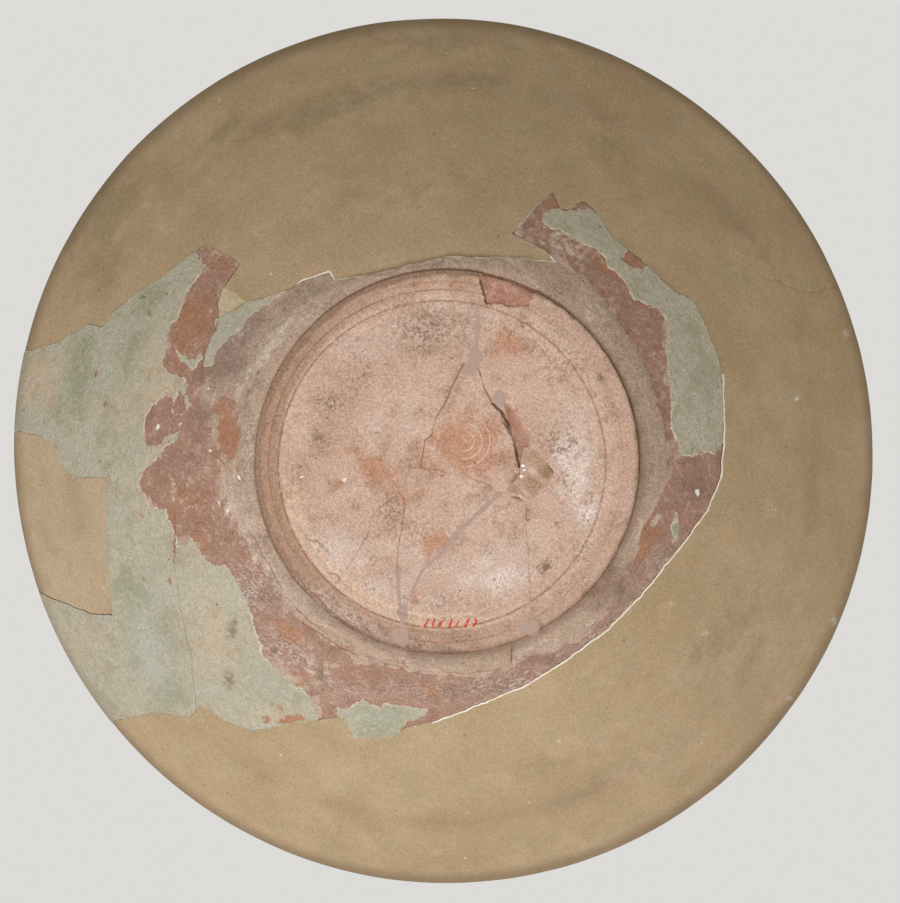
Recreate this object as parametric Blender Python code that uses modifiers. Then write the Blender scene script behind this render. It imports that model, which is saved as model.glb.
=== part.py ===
"""Restored earthenware bowl, in metres with +Z up.

A wheel-turned, glazed bowl stands mouth up on its flat foot, with the foot's centre at the origin.
The foot, the lower wall and one stretch of the rim are the old earthenware. The rest of the wall is
made up in plaster, and so is a smaller loss in the surviving rim.
"""
import math

import bmesh
import bpy
from mathutils import Vector

# Driving sizes of the turned bowl
RIM_RADIUS = 0.130
BOWL_HEIGHT = 0.075
RIM_THICKNESS = 0.0044
RIM_SLOPE = math.radians(50.0)
WALL_THICKNESS = 0.0070
FLOOR_THICKNESS = 0.0085

# Foot: a low disc with a hollowed middle and two turned lines on its underside
FOOT_RADIUS = 0.0545
FOOT_HEIGHT = 0.0034
FOOT_EDGE_BEVEL = 0.0006
FOOT_HOLLOW = 0.0009
STANDING_RING_WIDTH = 0.0065
LINE_SPACING = 0.0045
OUTER_LINE_RADIUS = FOOT_RADIUS - STANDING_RING_WIDTH
INNER_LINE_RADIUS = OUTER_LINE_RADIUS - LINE_SPACING
LINE_WIDTH = 0.0009
LINE_DEPTH = 0.0004

# Faults of the hand: a rim out of round, and a foot trimmed off the wheel's centre
OUT_OF_ROUND = 0.0008
LONG_AXIS_AZIMUTH = math.radians(34.0)
FOOT_SHIFT = 0.0015
FOOT_SHIFT_AZIMUTH = math.radians(133.0)

# Joint between earthenware and plaster
JOINT_GAP = 0.0003
FOOT_MARGIN = 0.0016
CUTTER_MARGIN = 0.015

# Damage to the foot: the chip in its edge and the loss beside the middle
CHIP_DEPTH = 0.0012
LOSS_DEPTH = 0.0012

# How the floor eases up to the wall, and how far up the wall the foot's shift fades out
FLOOR_SHARES = (0.45, 0.8)
FLOOR_RISE_POWER = 4
SHIFT_FADE = 0.028

# How finely the curves are cut and smoothed
TURN_STEPS = 96
WALL_STEPS = 9
WALL_CROWDING = 1.3
RIM_ARC_STEPS = 6
HOLLOW_STEPS = 3
HEIGHT_ROUNDS = 12
MERGE_DISTANCE = 0.00001
SHARPEST_MITRE = 0.4
SMOOTH_ANGLE = math.radians(35.0)

# The view from below that the break lines are read from, in picture units with y down
VIEW_DISTANCE = 1.125
VIEW_RIM_CENTRE = (443.6, 451.1)
VIEW_RIM_RADIUS = 430.5
VIEW_FOOT_CENTRE = (442.2, 463.2)
VIEW_FOOT_RADIUS = 192.5
VIEW_RIGHT_AZIMUTH = math.radians(148.0)

# Edge of the surviving earthenware, clockwise in the view from the rim at the left
SHERD_EDGE = [
    (-40, 374), (27, 351), (60, 341), (80, 329), (88, 324), (103, 326), (120, 306), (138, 292), (168, 273),
    (191, 254), (206, 245), (232, 257), (240, 264), (224, 287), (218, 302), (219, 318), (252, 301),
    (280, 293), (304, 281), (329, 273), (334, 281), (373, 276), (410, 266), (448, 258), (509, 259),
    (559, 263), (544, 249), (527, 241), (512, 234), (537, 206), (552, 193), (560, 209), (571, 210),
    (583, 201), (600, 216), (610, 235), (626, 247), (649, 268), (675, 292), (694, 301), (710, 336),
    (722, 370), (723, 440), (720, 477), (707, 510), (677, 550), (639, 597), (609, 628), (566, 660),
    (528, 684), (482, 703), (438, 721), (406, 728), (391, 738), (355, 738), (340, 717), (311, 721),
    (253, 731), (228, 722), (200, 705), (190, 717), (156, 712), (114, 721), (60, 748), (-120, 690),
    (-120, 480),
]

# Edge of the plaster set into the surviving rim, clockwise in the view
RIM_PATCH_EDGE = [
    (-60, 428), (17, 430), (42, 436), (53, 444), (59, 464), (74, 477), (107, 477), (107, 545), (109, 590),
    (113, 615), (90, 613), (52, 598), (30, 586), (-60, 600),
]

# Outlines of the chip in the foot's edge and of the loss beside its middle
FOOT_CHIP_EDGE = [(482, 262), (540, 268), (535, 291), (528, 308), (502, 305), (487, 304)]
FOOT_LOSS_EDGE = [
    (505, 404), (519, 421), (529, 447), (541, 454), (555, 471), (550, 483), (539, 492), (531, 504),
    (519, 501), (507, 494), (509, 480), (518, 470), (514, 441),
]

# Surface colours, roughness and metallic value
EARTHENWARE_COLOUR = (0.52, 0.37, 0.27, 1.0)
EARTHENWARE_ROUGHNESS = 0.62
PLASTER_COLOUR = (0.40, 0.31, 0.19, 1.0)
PLASTER_ROUGHNESS = 0.80
METALLIC = 0.0


def clear_scene():
    for obj in list(bpy.data.objects):
        bpy.data.objects.remove(obj, do_unlink=True)


def new_collection(name):
    collection = bpy.data.collections.new(name)
    bpy.context.scene.collection.children.link(collection)
    return collection


def new_material(name, colour, roughness):
    material = bpy.data.materials.new(name)
    material.use_nodes = True
    shader = material.node_tree.nodes["Principled BSDF"]
    shader.inputs["Base Color"].default_value = colour
    shader.inputs["Roughness"].default_value = roughness
    shader.inputs["Metallic"].default_value = METALLIC
    return material


def link_object(name, data, collection):
    obj = bpy.data.objects.new(name, data)
    collection.objects.link(obj)
    return obj


# Turned profile

def wall_end():
    """Where the outer wall meets the rounding of the rim."""
    rounding = RIM_THICKNESS / 2
    centre_r = RIM_RADIUS - rounding
    centre_z = BOWL_HEIGHT - rounding
    return centre_r + rounding * math.sin(RIM_SLOPE), centre_z - rounding * math.cos(RIM_SLOPE)


def wall_power():
    """Exponent of the wall's curve, which makes it reach the rim at the rim's own slope."""
    end_r, end_z = wall_end()
    return math.tan(RIM_SLOPE) * (end_r - FOOT_RADIUS) / (end_z - FOOT_HEIGHT)


def wall_share(radius):
    end_r = wall_end()[0]
    return min(max((radius - FOOT_RADIUS) / (end_r - FOOT_RADIUS), 0.0), 1.0)


def wall_height(radius):
    """Height of the outer wall over the foot's plane."""
    end_z = wall_end()[1]
    return FOOT_HEIGHT + (end_z - FOOT_HEIGHT) * wall_share(radius) ** wall_power()


def wall_point(share):
    end_r = wall_end()[0]
    radius = FOOT_RADIUS + (end_r - FOOT_RADIUS) * share
    return radius, wall_height(radius)


def wall_slope(share):
    return math.atan(math.tan(RIM_SLOPE) * share ** (wall_power() - 1))


def inner_wall_point(share):
    """Point of the inner wall across from the outer one at this share of the wall."""
    radius, height = wall_point(share)
    thickness = WALL_THICKNESS + (RIM_THICKNESS - WALL_THICKNESS) * share
    slope = wall_slope(share)
    return radius - thickness * math.sin(slope), height + thickness * math.cos(slope)


def floor_profile():
    """Inner floor, from the axis outward, rising a little to meet the wall."""
    wall_r, wall_z = inner_wall_point(0.0)
    points = [(0.0, FLOOR_THICKNESS)]
    for share in FLOOR_SHARES:
        rise = (wall_z - FLOOR_THICKNESS) * share ** FLOOR_RISE_POWER
        points.append((wall_r * share, FLOOR_THICKNESS + rise))
    return points


def wall_shares():
    """Shares of the wall from foot to rim, closer together near the foot."""
    return [(step / WALL_STEPS) ** WALL_CROWDING for step in range(WALL_STEPS + 1)]


def rim_profile():
    """Half-round rim, from the inner wall over the top to the outer wall."""
    rounding = RIM_THICKNESS / 2
    points = []
    for step in range(1, RIM_ARC_STEPS):
        angle = RIM_SLOPE + math.pi / 2 - math.pi * step / RIM_ARC_STEPS
        points.append((RIM_RADIUS - rounding + rounding * math.cos(angle),
                       BOWL_HEIGHT - rounding + rounding * math.sin(angle)))
    return points


def hollow_height(radius):
    """Height of the hollowed underside inside the inner turned line."""
    reach = INNER_LINE_RADIUS - LINE_WIDTH / 2
    return FOOT_HOLLOW * (1 - (radius / reach) ** 2)


def turned_line(radius):
    """A shallow V-shaped line, from its outer lip to its inner lip."""
    half = LINE_WIDTH / 2
    return [(radius + half, 0.0), (radius, LINE_DEPTH), (radius - half, 0.0)]


def foot_profile():
    """Foot from the crease under the wall, down its side and in to the axis."""
    points = [(FOOT_RADIUS, FOOT_EDGE_BEVEL), (FOOT_RADIUS - FOOT_EDGE_BEVEL, 0.0)]
    points += turned_line(OUTER_LINE_RADIUS)
    points += turned_line(INNER_LINE_RADIUS)
    reach = INNER_LINE_RADIUS - LINE_WIDTH / 2
    for step in range(HOLLOW_STEPS - 1, -1, -1):
        radius = reach * step / HOLLOW_STEPS
        points.append((radius, hollow_height(radius)))
    return points


def bowl_profile():
    """Whole section at +X: floor, inner wall, rim, then down the outer wall and in under the foot."""
    shares = wall_shares()
    points = floor_profile()
    points += [inner_wall_point(share) for share in shares]
    points += rim_profile()
    points += [wall_point(share) for share in reversed(shares)]
    points += foot_profile()
    return points


def turned_mesh(name, profile):
    """Mesh of a profile turned about Z."""
    outline = bpy.data.meshes.new(name + "_outline")
    edges = [(index, index + 1) for index in range(len(profile) - 1)]
    outline.from_pydata([(r, 0.0, z) for r, z in profile], edges, [])
    obj = link_object(name + "_outline", outline, bpy.context.scene.collection)
    screw = obj.modifiers.new("turn", "SCREW")
    screw.steps = TURN_STEPS
    screw.render_steps = TURN_STEPS
    screw.use_merge_vertices = True
    screw.merge_threshold = MERGE_DISTANCE
    evaluated = obj.evaluated_get(bpy.context.evaluated_depsgraph_get())
    mesh = bpy.data.meshes.new_from_object(evaluated)
    mesh.name = name
    bpy.data.objects.remove(obj, do_unlink=True)
    return mesh


# Faults of the hand

def foot_shift_weight(radius):
    """One at the foot's edge, falling to nothing at the outer turned line and part way up the wall."""
    if radius < FOOT_RADIUS:
        start = OUTER_LINE_RADIUS + LINE_WIDTH / 2
        return max(0.0, (radius - start) / (FOOT_RADIUS - start))
    return max(0.0, 1 - (radius - FOOT_RADIUS) / SHIFT_FADE)


def warp(mesh):
    """Draw the rim out of round and shift the foot's edge off centre."""
    for vertex in mesh.vertices:
        x, y, z = vertex.co
        radius = math.hypot(x, y)
        azimuth = math.atan2(y, x)
        growth = wall_share(radius) ** 2 * radius / RIM_RADIUS
        radius_now = radius + OUT_OF_ROUND * growth * math.cos(2 * (azimuth - LONG_AXIS_AZIMUTH))
        underside = z < wall_height(radius) + WALL_THICKNESS / 4
        shift = FOOT_SHIFT * foot_shift_weight(radius) if underside else 0.0
        vertex.co.x = radius_now * math.cos(azimuth) + shift * math.cos(FOOT_SHIFT_AZIMUTH)
        vertex.co.y = radius_now * math.sin(azimuth) + shift * math.sin(FOOT_SHIFT_AZIMUTH)


# Break lines, from the view to the plan

def plan_position(right, up):
    """Plan position from distances to the right and up in the view, which looks up at the underside."""
    azimuth = VIEW_RIGHT_AZIMUTH
    return Vector((right * math.cos(azimuth) + up * math.sin(azimuth),
                   right * math.sin(azimuth) - up * math.cos(azimuth)))


def wall_position(point):
    """Plan position of a point that the view shows on the outer wall, found by closing in on its height."""
    rim_distance = VIEW_DISTANCE + BOWL_HEIGHT
    height = BOWL_HEIGHT / 2
    for _ in range(HEIGHT_ROUNDS):
        distance = VIEW_DISTANCE + height
        scale = VIEW_RIM_RADIUS / RIM_RADIUS * rim_distance / distance
        share = height / distance * rim_distance / BOWL_HEIGHT
        centre_x = VIEW_FOOT_CENTRE[0] + (VIEW_RIM_CENTRE[0] - VIEW_FOOT_CENTRE[0]) * share
        centre_y = VIEW_FOOT_CENTRE[1] + (VIEW_RIM_CENTRE[1] - VIEW_FOOT_CENTRE[1]) * share
        right = (point[0] - centre_x) / scale
        up = (centre_y - point[1]) / scale
        height = wall_height(math.hypot(right, up))
    return plan_position(right, up)


def wall_outline(points):
    """Plan outline of a line on the wall, kept clear of the foot."""
    nearest = FOOT_RADIUS + FOOT_SHIFT + FOOT_MARGIN
    outline = []
    for point in points:
        position = wall_position(point)
        outline.append(position * max(1.0, nearest / position.length))
    return outline


def foot_outline(points):
    """Plan outline of a line on the foot's underside."""
    scale = FOOT_RADIUS / VIEW_FOOT_RADIUS
    return [plan_position((x - VIEW_FOOT_CENTRE[0]) * scale, (VIEW_FOOT_CENTRE[1] - y) * scale)
            for x, y in points]


def grown(outline, distance):
    """Outline moved outward by a distance, or inward by a negative one."""
    count = len(outline)
    area = sum(outline[i - 1].cross(outline[i]) for i in range(count))
    side = math.copysign(1.0, area)
    moved = []
    for i in range(count):
        before = (outline[i] - outline[i - 1]).normalized()
        after = (outline[(i + 1) % count] - outline[i]).normalized()
        normal_before = Vector((before.y, -before.x)) * side
        normal_after = Vector((after.y, -after.x)) * side
        middle = (normal_before + normal_after).normalized()
        reach = distance / max(middle.dot(normal_after), SHARPEST_MITRE)
        moved.append(outline[i] + middle * reach)
    return moved


def prism_cutter(name, outline, low, high, collection):
    """Closed upright prism over a plan outline."""
    curve = bpy.data.curves.new(name, "CURVE")
    curve.dimensions = "2D"
    curve.fill_mode = "BOTH"
    curve.extrude = (high - low) / 2
    spline = curve.splines.new("POLY")
    spline.points.add(len(outline) - 1)
    for spline_point, corner in zip(spline.points, outline):
        spline_point.co = (corner.x, corner.y, 0.0, 1.0)
    spline.use_cyclic_u = True
    flat = link_object(name + "_outline", curve, collection)
    flat.location.z = (low + high) / 2
    bpy.context.view_layer.update()
    evaluated = flat.evaluated_get(bpy.context.evaluated_depsgraph_get())
    mesh = bpy.data.meshes.new_from_object(evaluated)
    solid = bmesh.new()
    solid.from_mesh(mesh)
    bmesh.ops.remove_doubles(solid, verts=solid.verts, dist=MERGE_DISTANCE)
    bmesh.ops.recalc_face_normals(solid, faces=solid.faces)
    solid.to_mesh(mesh)
    solid.free()
    cutter = link_object(name, mesh, collection)
    cutter.matrix_world = flat.matrix_world.copy()
    bpy.data.objects.remove(flat, do_unlink=True)
    cutter.hide_render = True
    cutter.display_type = "WIRE"
    return cutter


def add_boolean(obj, operation, cutter):
    cut = obj.modifiers.new(operation.lower() + "_" + cutter.name, "BOOLEAN")
    cut.operation = operation
    cut.solver = "EXACT"
    cut.object = cutter


def piece_of_bowl(name, bowl, material, collection):
    """One physical piece, which starts as the whole turned bowl and is then cut to its edges."""
    mesh = bowl.copy()
    mesh.name = name
    mesh.materials.clear()
    mesh.materials.append(material)
    mesh.shade_smooth()
    mesh.set_sharp_from_angle(angle=SMOOTH_ANGLE)
    return link_object(name, mesh, collection)


def build():
    clear_scene()
    pieces = new_collection("restored_earthenware_bowl")
    cutters = new_collection("cutters")
    bowl = turned_mesh("turned_bowl", bowl_profile())
    warp(bowl)

    below = -CUTTER_MARGIN
    above = BOWL_HEIGHT + CUTTER_MARGIN
    half_gap = JOINT_GAP / 2
    sherd_line = wall_outline(SHERD_EDGE)
    patch_line = wall_outline(RIM_PATCH_EDGE)
    sherd_inside = prism_cutter("sherd_inside", grown(sherd_line, -half_gap), below, above, cutters)
    sherd_outside = prism_cutter("sherd_outside", grown(sherd_line, half_gap), below, above, cutters)
    patch_inside = prism_cutter("patch_inside", grown(patch_line, -half_gap), below, above, cutters)
    patch_outside = prism_cutter("patch_outside", grown(patch_line, half_gap), below, above, cutters)
    chip = prism_cutter("foot_chip", foot_outline(FOOT_CHIP_EDGE), below, CHIP_DEPTH, cutters)
    loss = prism_cutter("foot_loss", foot_outline(FOOT_LOSS_EDGE), below, FOOT_HOLLOW + LOSS_DEPTH, cutters)

    earthenware = new_material("earthenware", EARTHENWARE_COLOUR, EARTHENWARE_ROUGHNESS)
    plaster = new_material("plaster", PLASTER_COLOUR, PLASTER_ROUGHNESS)
    patch_plaster = new_material("rim_patch_plaster", PLASTER_COLOUR, PLASTER_ROUGHNESS)

    body = piece_of_bowl("earthenware_bowl", bowl, earthenware, pieces)
    add_boolean(body, "INTERSECT", sherd_inside)
    add_boolean(body, "DIFFERENCE", patch_outside)
    add_boolean(body, "DIFFERENCE", chip)
    add_boolean(body, "DIFFERENCE", loss)

    fill = piece_of_bowl("plaster_wall_fill", bowl, plaster, pieces)
    add_boolean(fill, "DIFFERENCE", sherd_outside)

    patch = piece_of_bowl("plaster_rim_patch", bowl, patch_plaster, pieces)
    add_boolean(patch, "INTERSECT", patch_inside)


build()
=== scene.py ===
"""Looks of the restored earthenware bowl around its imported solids, in metres with +Z up.

The bowl stands mouth up, and the camera looks up at its underside, as the photograph does. Break
lines, cracks and worn places are read in that view, in picture units with y down.
"""
import math

import bpy
import numpy as np
from mathutils import Matrix, Vector


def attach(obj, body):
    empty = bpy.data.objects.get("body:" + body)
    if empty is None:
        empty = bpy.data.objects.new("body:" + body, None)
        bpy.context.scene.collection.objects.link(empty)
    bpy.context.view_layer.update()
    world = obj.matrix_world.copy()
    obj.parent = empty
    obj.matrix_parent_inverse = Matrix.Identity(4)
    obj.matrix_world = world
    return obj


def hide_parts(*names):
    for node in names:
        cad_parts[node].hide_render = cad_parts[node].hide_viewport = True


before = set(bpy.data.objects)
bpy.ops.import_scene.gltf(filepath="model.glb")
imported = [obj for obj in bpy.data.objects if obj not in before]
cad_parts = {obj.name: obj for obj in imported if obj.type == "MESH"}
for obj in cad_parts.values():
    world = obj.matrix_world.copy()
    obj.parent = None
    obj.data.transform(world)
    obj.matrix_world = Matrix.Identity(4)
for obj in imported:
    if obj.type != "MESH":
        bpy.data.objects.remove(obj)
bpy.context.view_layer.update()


def stretch(outline, first, last):
    """The points of an outline from one of them to another."""
    return outline[outline.index(first):outline.index(last) + 1]


# Driving sizes of the turned bowl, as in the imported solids
RIM_RADIUS = 0.130
BOWL_HEIGHT = 0.075
RIM_THICKNESS = 0.0044
RIM_SLOPE = math.radians(50.0)
WALL_THICKNESS = 0.0070
FLOOR_THICKNESS = 0.0085
FLOOR_RISE_POWER = 4
FOOT_RADIUS = 0.0545
FOOT_HEIGHT = 0.0034
FOOT_EDGE_BEVEL = 0.0006
FOOT_HOLLOW = 0.0009
FOOT_FILLET = 0.0011
FOOT_EDGE_WEAR = 0.0008
OUT_OF_ROUND = 0.0008
LONG_AXIS_AZIMUTH = math.radians(34.0)
FOOT_SHIFT = 0.0015
FOOT_SHIFT_AZIMUTH = math.radians(133.0)
SHIFT_FADE = 0.028
STANDING_RING_WIDTH = 0.0065

# What follows from them: the rim's rounding, where the wall meets it, the wall's curve, the foot's middle
RIM_ROUNDING = RIM_THICKNESS / 2
WALL_END_RADIUS = RIM_RADIUS - RIM_ROUNDING + RIM_ROUNDING * math.sin(RIM_SLOPE)
WALL_END_HEIGHT = BOWL_HEIGHT - RIM_ROUNDING - RIM_ROUNDING * math.cos(RIM_SLOPE)
WALL_POWER = math.tan(RIM_SLOPE) * (WALL_END_RADIUS - FOOT_RADIUS) / (WALL_END_HEIGHT - FOOT_HEIGHT)
HOLLOW_END = FOOT_RADIUS - STANDING_RING_WIDTH
FOOT_MIDDLE = (FOOT_SHIFT * math.cos(FOOT_SHIFT_AZIMUTH), FOOT_SHIFT * math.sin(FOOT_SHIFT_AZIMUTH))

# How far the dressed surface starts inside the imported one, and the gap left at a joint
SKIN = 0.00015
JOINT_GAP = 0.00012

# Mesh spacing: plain surfaces outside and inside, and along lines, edges, inner joins and the spiral
OUTER_GRID = 0.0012
INNER_GRID = 0.0028
EDGE_GRID = 0.00045
CRACK_GRID = 0.00030
JOIN_GRID = 0.0008
SPIRAL_GRID = 0.0007
RIM_ARC_STEPS = 12
SHARP_ANGLE = math.radians(55)

# Edges this many times longer than wanted are halved, and single places off a cut's side are mended
HALVE_OVER = 1.4
REFINE_ROUNDS = 3
CRUMB_ROUNDS = 3
LEAST_DEPTH = 1e-7

# How far from each kind of line the mesh is finer, in picture units
JOINT_REACH = 2.6
CRACK_REACH = 1.8
LINE_REACH = 2.4
SHAPE_REACH = 2.0
JOIN_REACH = 5.0

# Size in metres and seed of each random ripple: of lines in the view, of the clay and of the plaster
VIEW_RIPPLES = ((0.006, 0.0016, 11), (0.006, 0.0016, 21))
CLAY_RIPPLES = ((0.009, 31), (0.004, 32), (0.0022, 33))
PLASTER_RIPPLES = ((0.034, 51), (0.012, 52))
GLUE_RIPPLE = (0.0035, 61)

# Column of a row that says which side it is on: 0 outside, 1 inside
SIDE = 6

# The view that lines and places are read in, in picture units with y down
VIEW_DISTANCE = 1.125
VIEW_RIM_CENTRE = (443.6, 451.1)
VIEW_RIM_RADIUS = 430.5
VIEW_FOOT_CENTRE = (442.2, 463.2)
VIEW_FOOT_RADIUS = 192.5
VIEW_RIGHT_AZIMUTH = math.radians(148.0)
VIEW_UNIT = RIM_RADIUS / VIEW_RIM_RADIUS

# How far in picture units a depth inside an outline is measured
DEPTH_REACH = 12.0

# The camera, by how far it stands right of and above the bowl's axis in that view, and where it aims
CAMERA_RIGHT = 0.0059
CAMERA_UP = 0.0496
AIM_RIGHT = 0.0021
AIM_UP = 0.0017
AIM_HEIGHT = 0.04
LENS = 158.6

# Edge of the surviving earthenware, clockwise in the view from the rim at the left
SHERD_EDGE = [
    (-40, 374), (27, 351), (60, 341), (80, 329), (88, 324), (103, 326), (120, 306), (138, 292), (168, 273),
    (191, 254), (206, 245), (232, 257), (240, 264), (224, 287), (218, 302), (219, 318), (252, 301),
    (280, 293), (304, 281), (329, 273), (334, 281), (373, 276), (410, 266), (448, 258), (509, 259),
    (559, 263), (544, 249), (527, 241), (512, 234), (537, 206), (552, 193), (560, 209), (571, 210),
    (583, 201), (600, 216), (610, 235), (626, 247), (649, 268), (675, 292), (694, 301), (710, 336),
    (722, 370), (723, 440), (720, 477), (707, 510), (677, 550), (639, 597), (609, 628), (566, 660),
    (528, 684), (482, 703), (438, 721), (406, 728), (391, 738), (355, 738), (340, 717), (311, 721),
    (253, 731), (228, 722), (200, 705), (190, 717), (156, 712), (114, 721), (60, 748), (-120, 690),
    (-120, 480),
]

# Edge of the plaster set into the surviving rim, clockwise in the view
RIM_PATCH_EDGE = [
    (-60, 428), (17, 430), (42, 436), (53, 444), (59, 464), (74, 477), (107, 477), (107, 545), (109, 590),
    (113, 615), (90, 613), (52, 598), (30, 586), (-60, 600),
]

# Damage to the foot: the chip in its edge, the loss beside its middle, and the rough sunk stretch
FOOT_CHIP_EDGE = [
    (481, 262), (545, 276), (536, 291), (530, 305), (513, 308), (486, 302), (482, 288),
]
FOOT_LOSS_EDGE = [
    (503, 400), (512, 402), (519, 415), (529, 431), (531, 446), (541, 454), (555, 471), (550, 483),
    (539, 492), (531, 504), (519, 501), (507, 494), (509, 480), (518, 470), (513, 443), (507, 422),
]
FOOT_SUNK_EDGE = [
    (290, 570), (304, 584), (318, 590), (328, 582), (334, 594), (350, 607), (372, 618), (402, 629),
    (430, 638), (452, 646), (476, 654), (470, 666), (380, 666), (335, 646), (300, 617), (280, 590),
]

# Where the glaze is left: the rim sherd, the upper strip and sliver, the right arc and three scraps
GLAZE_EDGES = [
    [(-60, 340), (-60, 760), (340, 790), (318, 716), (309, 697), (290, 682), (281, 674), (268, 664),
     (262, 655), (254, 629), (253, 619), (248, 601), (240, 588), (232, 575), (225, 566), (214, 565),
     (204, 561), (200, 552), (194, 542), (189, 536), (186, 545), (177, 547), (173, 524), (166, 519),
     (167, 508), (160, 509), (149, 506), (146, 495), (138, 486), (143, 472), (160, 455), (167, 445),
     (178, 438), (179, 431), (168, 433), (162, 444), (147, 446), (143, 434), (145, 418), (151, 405),
     (159, 404), (163, 396), (168, 391), (172, 395), (173, 412), (175, 397), (180, 390), (184, 396),
     (187, 409), (191, 404), (187, 392), (184, 384), (186, 379), (175, 374), (163, 367), (166, 351),
     (165, 342), (172, 323), (178, 318), (183, 301), (192, 284), (203, 271), (203, 260), (194, 252),
     (150, 215)],
    [(217, 318), (252, 299), (286, 290), (268, 304), (252, 314), (241, 328), (228, 339), (216, 353),
     (211, 366), (204, 366), (205, 356), (211, 341), (216, 329)],
    [(175, 347), (181, 355), (191, 360), (202, 352), (202, 358), (192, 370), (181, 359), (176, 350)],
    [(542, 217), (546, 211), (559, 208), (572, 211), (592, 209), (600, 214), (640, 235), (700, 290),
     (740, 340), (740, 441), (722, 441), (713, 453), (699, 449), (695, 456), (680, 455), (678, 441),
     (671, 430), (671, 408), (670, 383), (666, 358), (665, 345), (667, 327), (665, 319), (657, 309),
     (647, 304), (634, 299), (628, 290), (624, 281), (616, 272), (608, 267), (607, 257), (590, 247),
     (574, 238), (567, 234), (559, 229), (551, 229), (544, 225)],
    [(337, 708), (348, 709), (355, 705), (362, 699), (369, 704), (378, 708), (387, 704), (406, 707),
     (419, 708), (428, 712), (424, 717), (406, 722), (401, 731), (400, 748), (340, 748), (338, 720)],
    [(676, 511), (671, 530), (673, 543), (680, 539), (679, 525)],
    [(583, 628), (587, 622), (593, 620), (590, 625)],
]
GLAZE_HOLE = [(618, 259), (628, 249), (652, 266), (640, 270), (634, 268)]

# Cracks, and joins filled with glue, by width in picture units and line; then blobs of that glue
OPEN_CRACKS = [
    (2.0, [(480, 276), (482, 288), (486, 303)]),
    (1.4, [(464, 364), (459, 371), (448, 395), (435, 421), (432, 434), (425, 440), (421, 466)]),
    (1.5, [(479, 370), (484, 386), (489, 397), (492, 403)]),
    (2.6, [(492, 403), (500, 411), (508, 423), (514, 441), (519, 465)]),
    (0.8, [(412, 468), (421, 468), (437, 470), (454, 475), (472, 478), (491, 486)]),
    (0.9, [(403, 491), (384, 504), (371, 518), (368, 534), (357, 553), (341, 577)]),
    (0.9, [(405, 499), (403, 518), (399, 545), (397, 568)]),
    (0.8, [(526, 504), (527, 531), (529, 571), (530, 598)]),
    (1.0, [(529, 309), (544, 317), (551, 324)]),
    (1.0, [(310, 541), (316, 541), (322, 545), (327, 550)]),
    (1.2, [(329, 573), (336, 574), (340, 579)]),
    (1.3, [(210, 452), (224, 464), (239, 479)]),
    (1.4, [(174, 514), (175, 540), (174, 561)]),
    (1.4, [(218, 324), (205, 348), (202, 376)]),
    (1.2, [(403, 661), (407, 667)]),
    (1.6, [(511, 647), (511, 662)]),
    (1.0, [(422, 682), (423, 692)]),
    (0.5, [(173, 542), (175, 566), (178, 591), (182, 617), (191, 655), (193, 680), (196, 705)]),
    (1.2, [(250, 530), (270, 563), (290, 600), (310, 620), (330, 635), (349, 647)]),
    (1.1, [(538, 567), (548, 560)]),
    (1.1, [(542, 573), (551, 563)]),
    (1.5, [(303, 585), (323, 604), (343, 624), (378, 640)]),
    (1.5, [(302, 622), (320, 634), (340, 646), (356, 655)]),
    (1.0, [(322, 646), (322, 690)]),
    (1.2, [(434, 664), (446, 672), (470, 673), (511, 664)]),
    (0.9, [(362, 654), (389, 664), (402, 667), (406, 657)]),
    (1.0, [(422, 683), (430, 690), (436, 698)]),
]
FILLED_CRACKS = [
    (5.0, [(478, 307), (477, 335), (476, 357)]),
    (4.6, [(499, 494), (480, 512), (459, 531), (437, 558)]),
    (2.6, [(437, 558), (421, 572), (414, 588), (411, 601)]),
    (2.4, [(412, 469), (406, 476), (404, 488)]),
    (3.6, [(397, 568), (399, 598), (403, 625), (404, 647)]),
    (2.0, [(530, 598), (531, 610), (532, 622)]),
]
FILLER_SPOTS = [
    (475, 357, 7, 9), (470, 368, 8, 6), (500, 398, 7, 8), (403, 613, 5, 7), (403, 636, 5, 11),
    (529.5, 628, 10, 7),
]

# The joins between sherds as they show inside the bowl
INSIDE_JOINS = [
    [(487, 259), (482, 288), (478, 307), (476, 357), (464, 368), (448, 395), (435, 421), (425, 440),
     (418, 466), (404, 488), (384, 504), (371, 518), (357, 553), (341, 577), (318, 606), (296, 640),
     (288, 680), (272, 728)],
    [(476, 357), (484, 386), (500, 411), (514, 441), (519, 465), (510, 484), (480, 512), (459, 531),
     (437, 558), (421, 572), (411, 601), (403, 625), (405, 660), (398, 696), (406, 727)],
    [(418, 466), (454, 475), (510, 484)],
    [(510, 484), (527, 531), (529, 571), (532, 622), (540, 648), (536, 679)],
    [(119, 307), (140, 352), (152, 402), (168, 470), (174, 540), (178, 591), (191, 655), (196, 710)],
    [(168, 470), (210, 456), (250, 470), (300, 470), (357, 553)],
]

# Old glue in the loss, with painted glints and darker pools in it
GLUE_EDGE = [
    (524, 448), (530, 445), (536, 452), (545, 459), (554, 467), (557, 472), (550, 482), (541, 491),
    (536, 504), (527, 503), (519, 497), (508, 496), (500, 495), (504, 488), (514, 482), (520, 474),
    (521, 460),
]
PAINTED_GLINTS = [
    (523, 466, 2.0, 1.3), (524.5, 470, 1.6, 1.2), (521.5, 476.5, 1.8, 1.5),
]
GLUE_POOLS = [(551, 470, 7, 8), (536, 486, 9, 6, 0, 0.5)]

# The glue's mesh spacing and the width of its sloping edge in picture units; how far in metres it
# bulges, lies below the clay and goes into it; and how lumpy it is
GLUE_GRID = 0.7
GLUE_SLOPE = 2.2
GLUE_DOME = 0.00035
GLUE_SUNK = 0.00035
GLUE_HIDDEN = 0.0006
GLUE_LUMPS = 0.35

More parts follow.
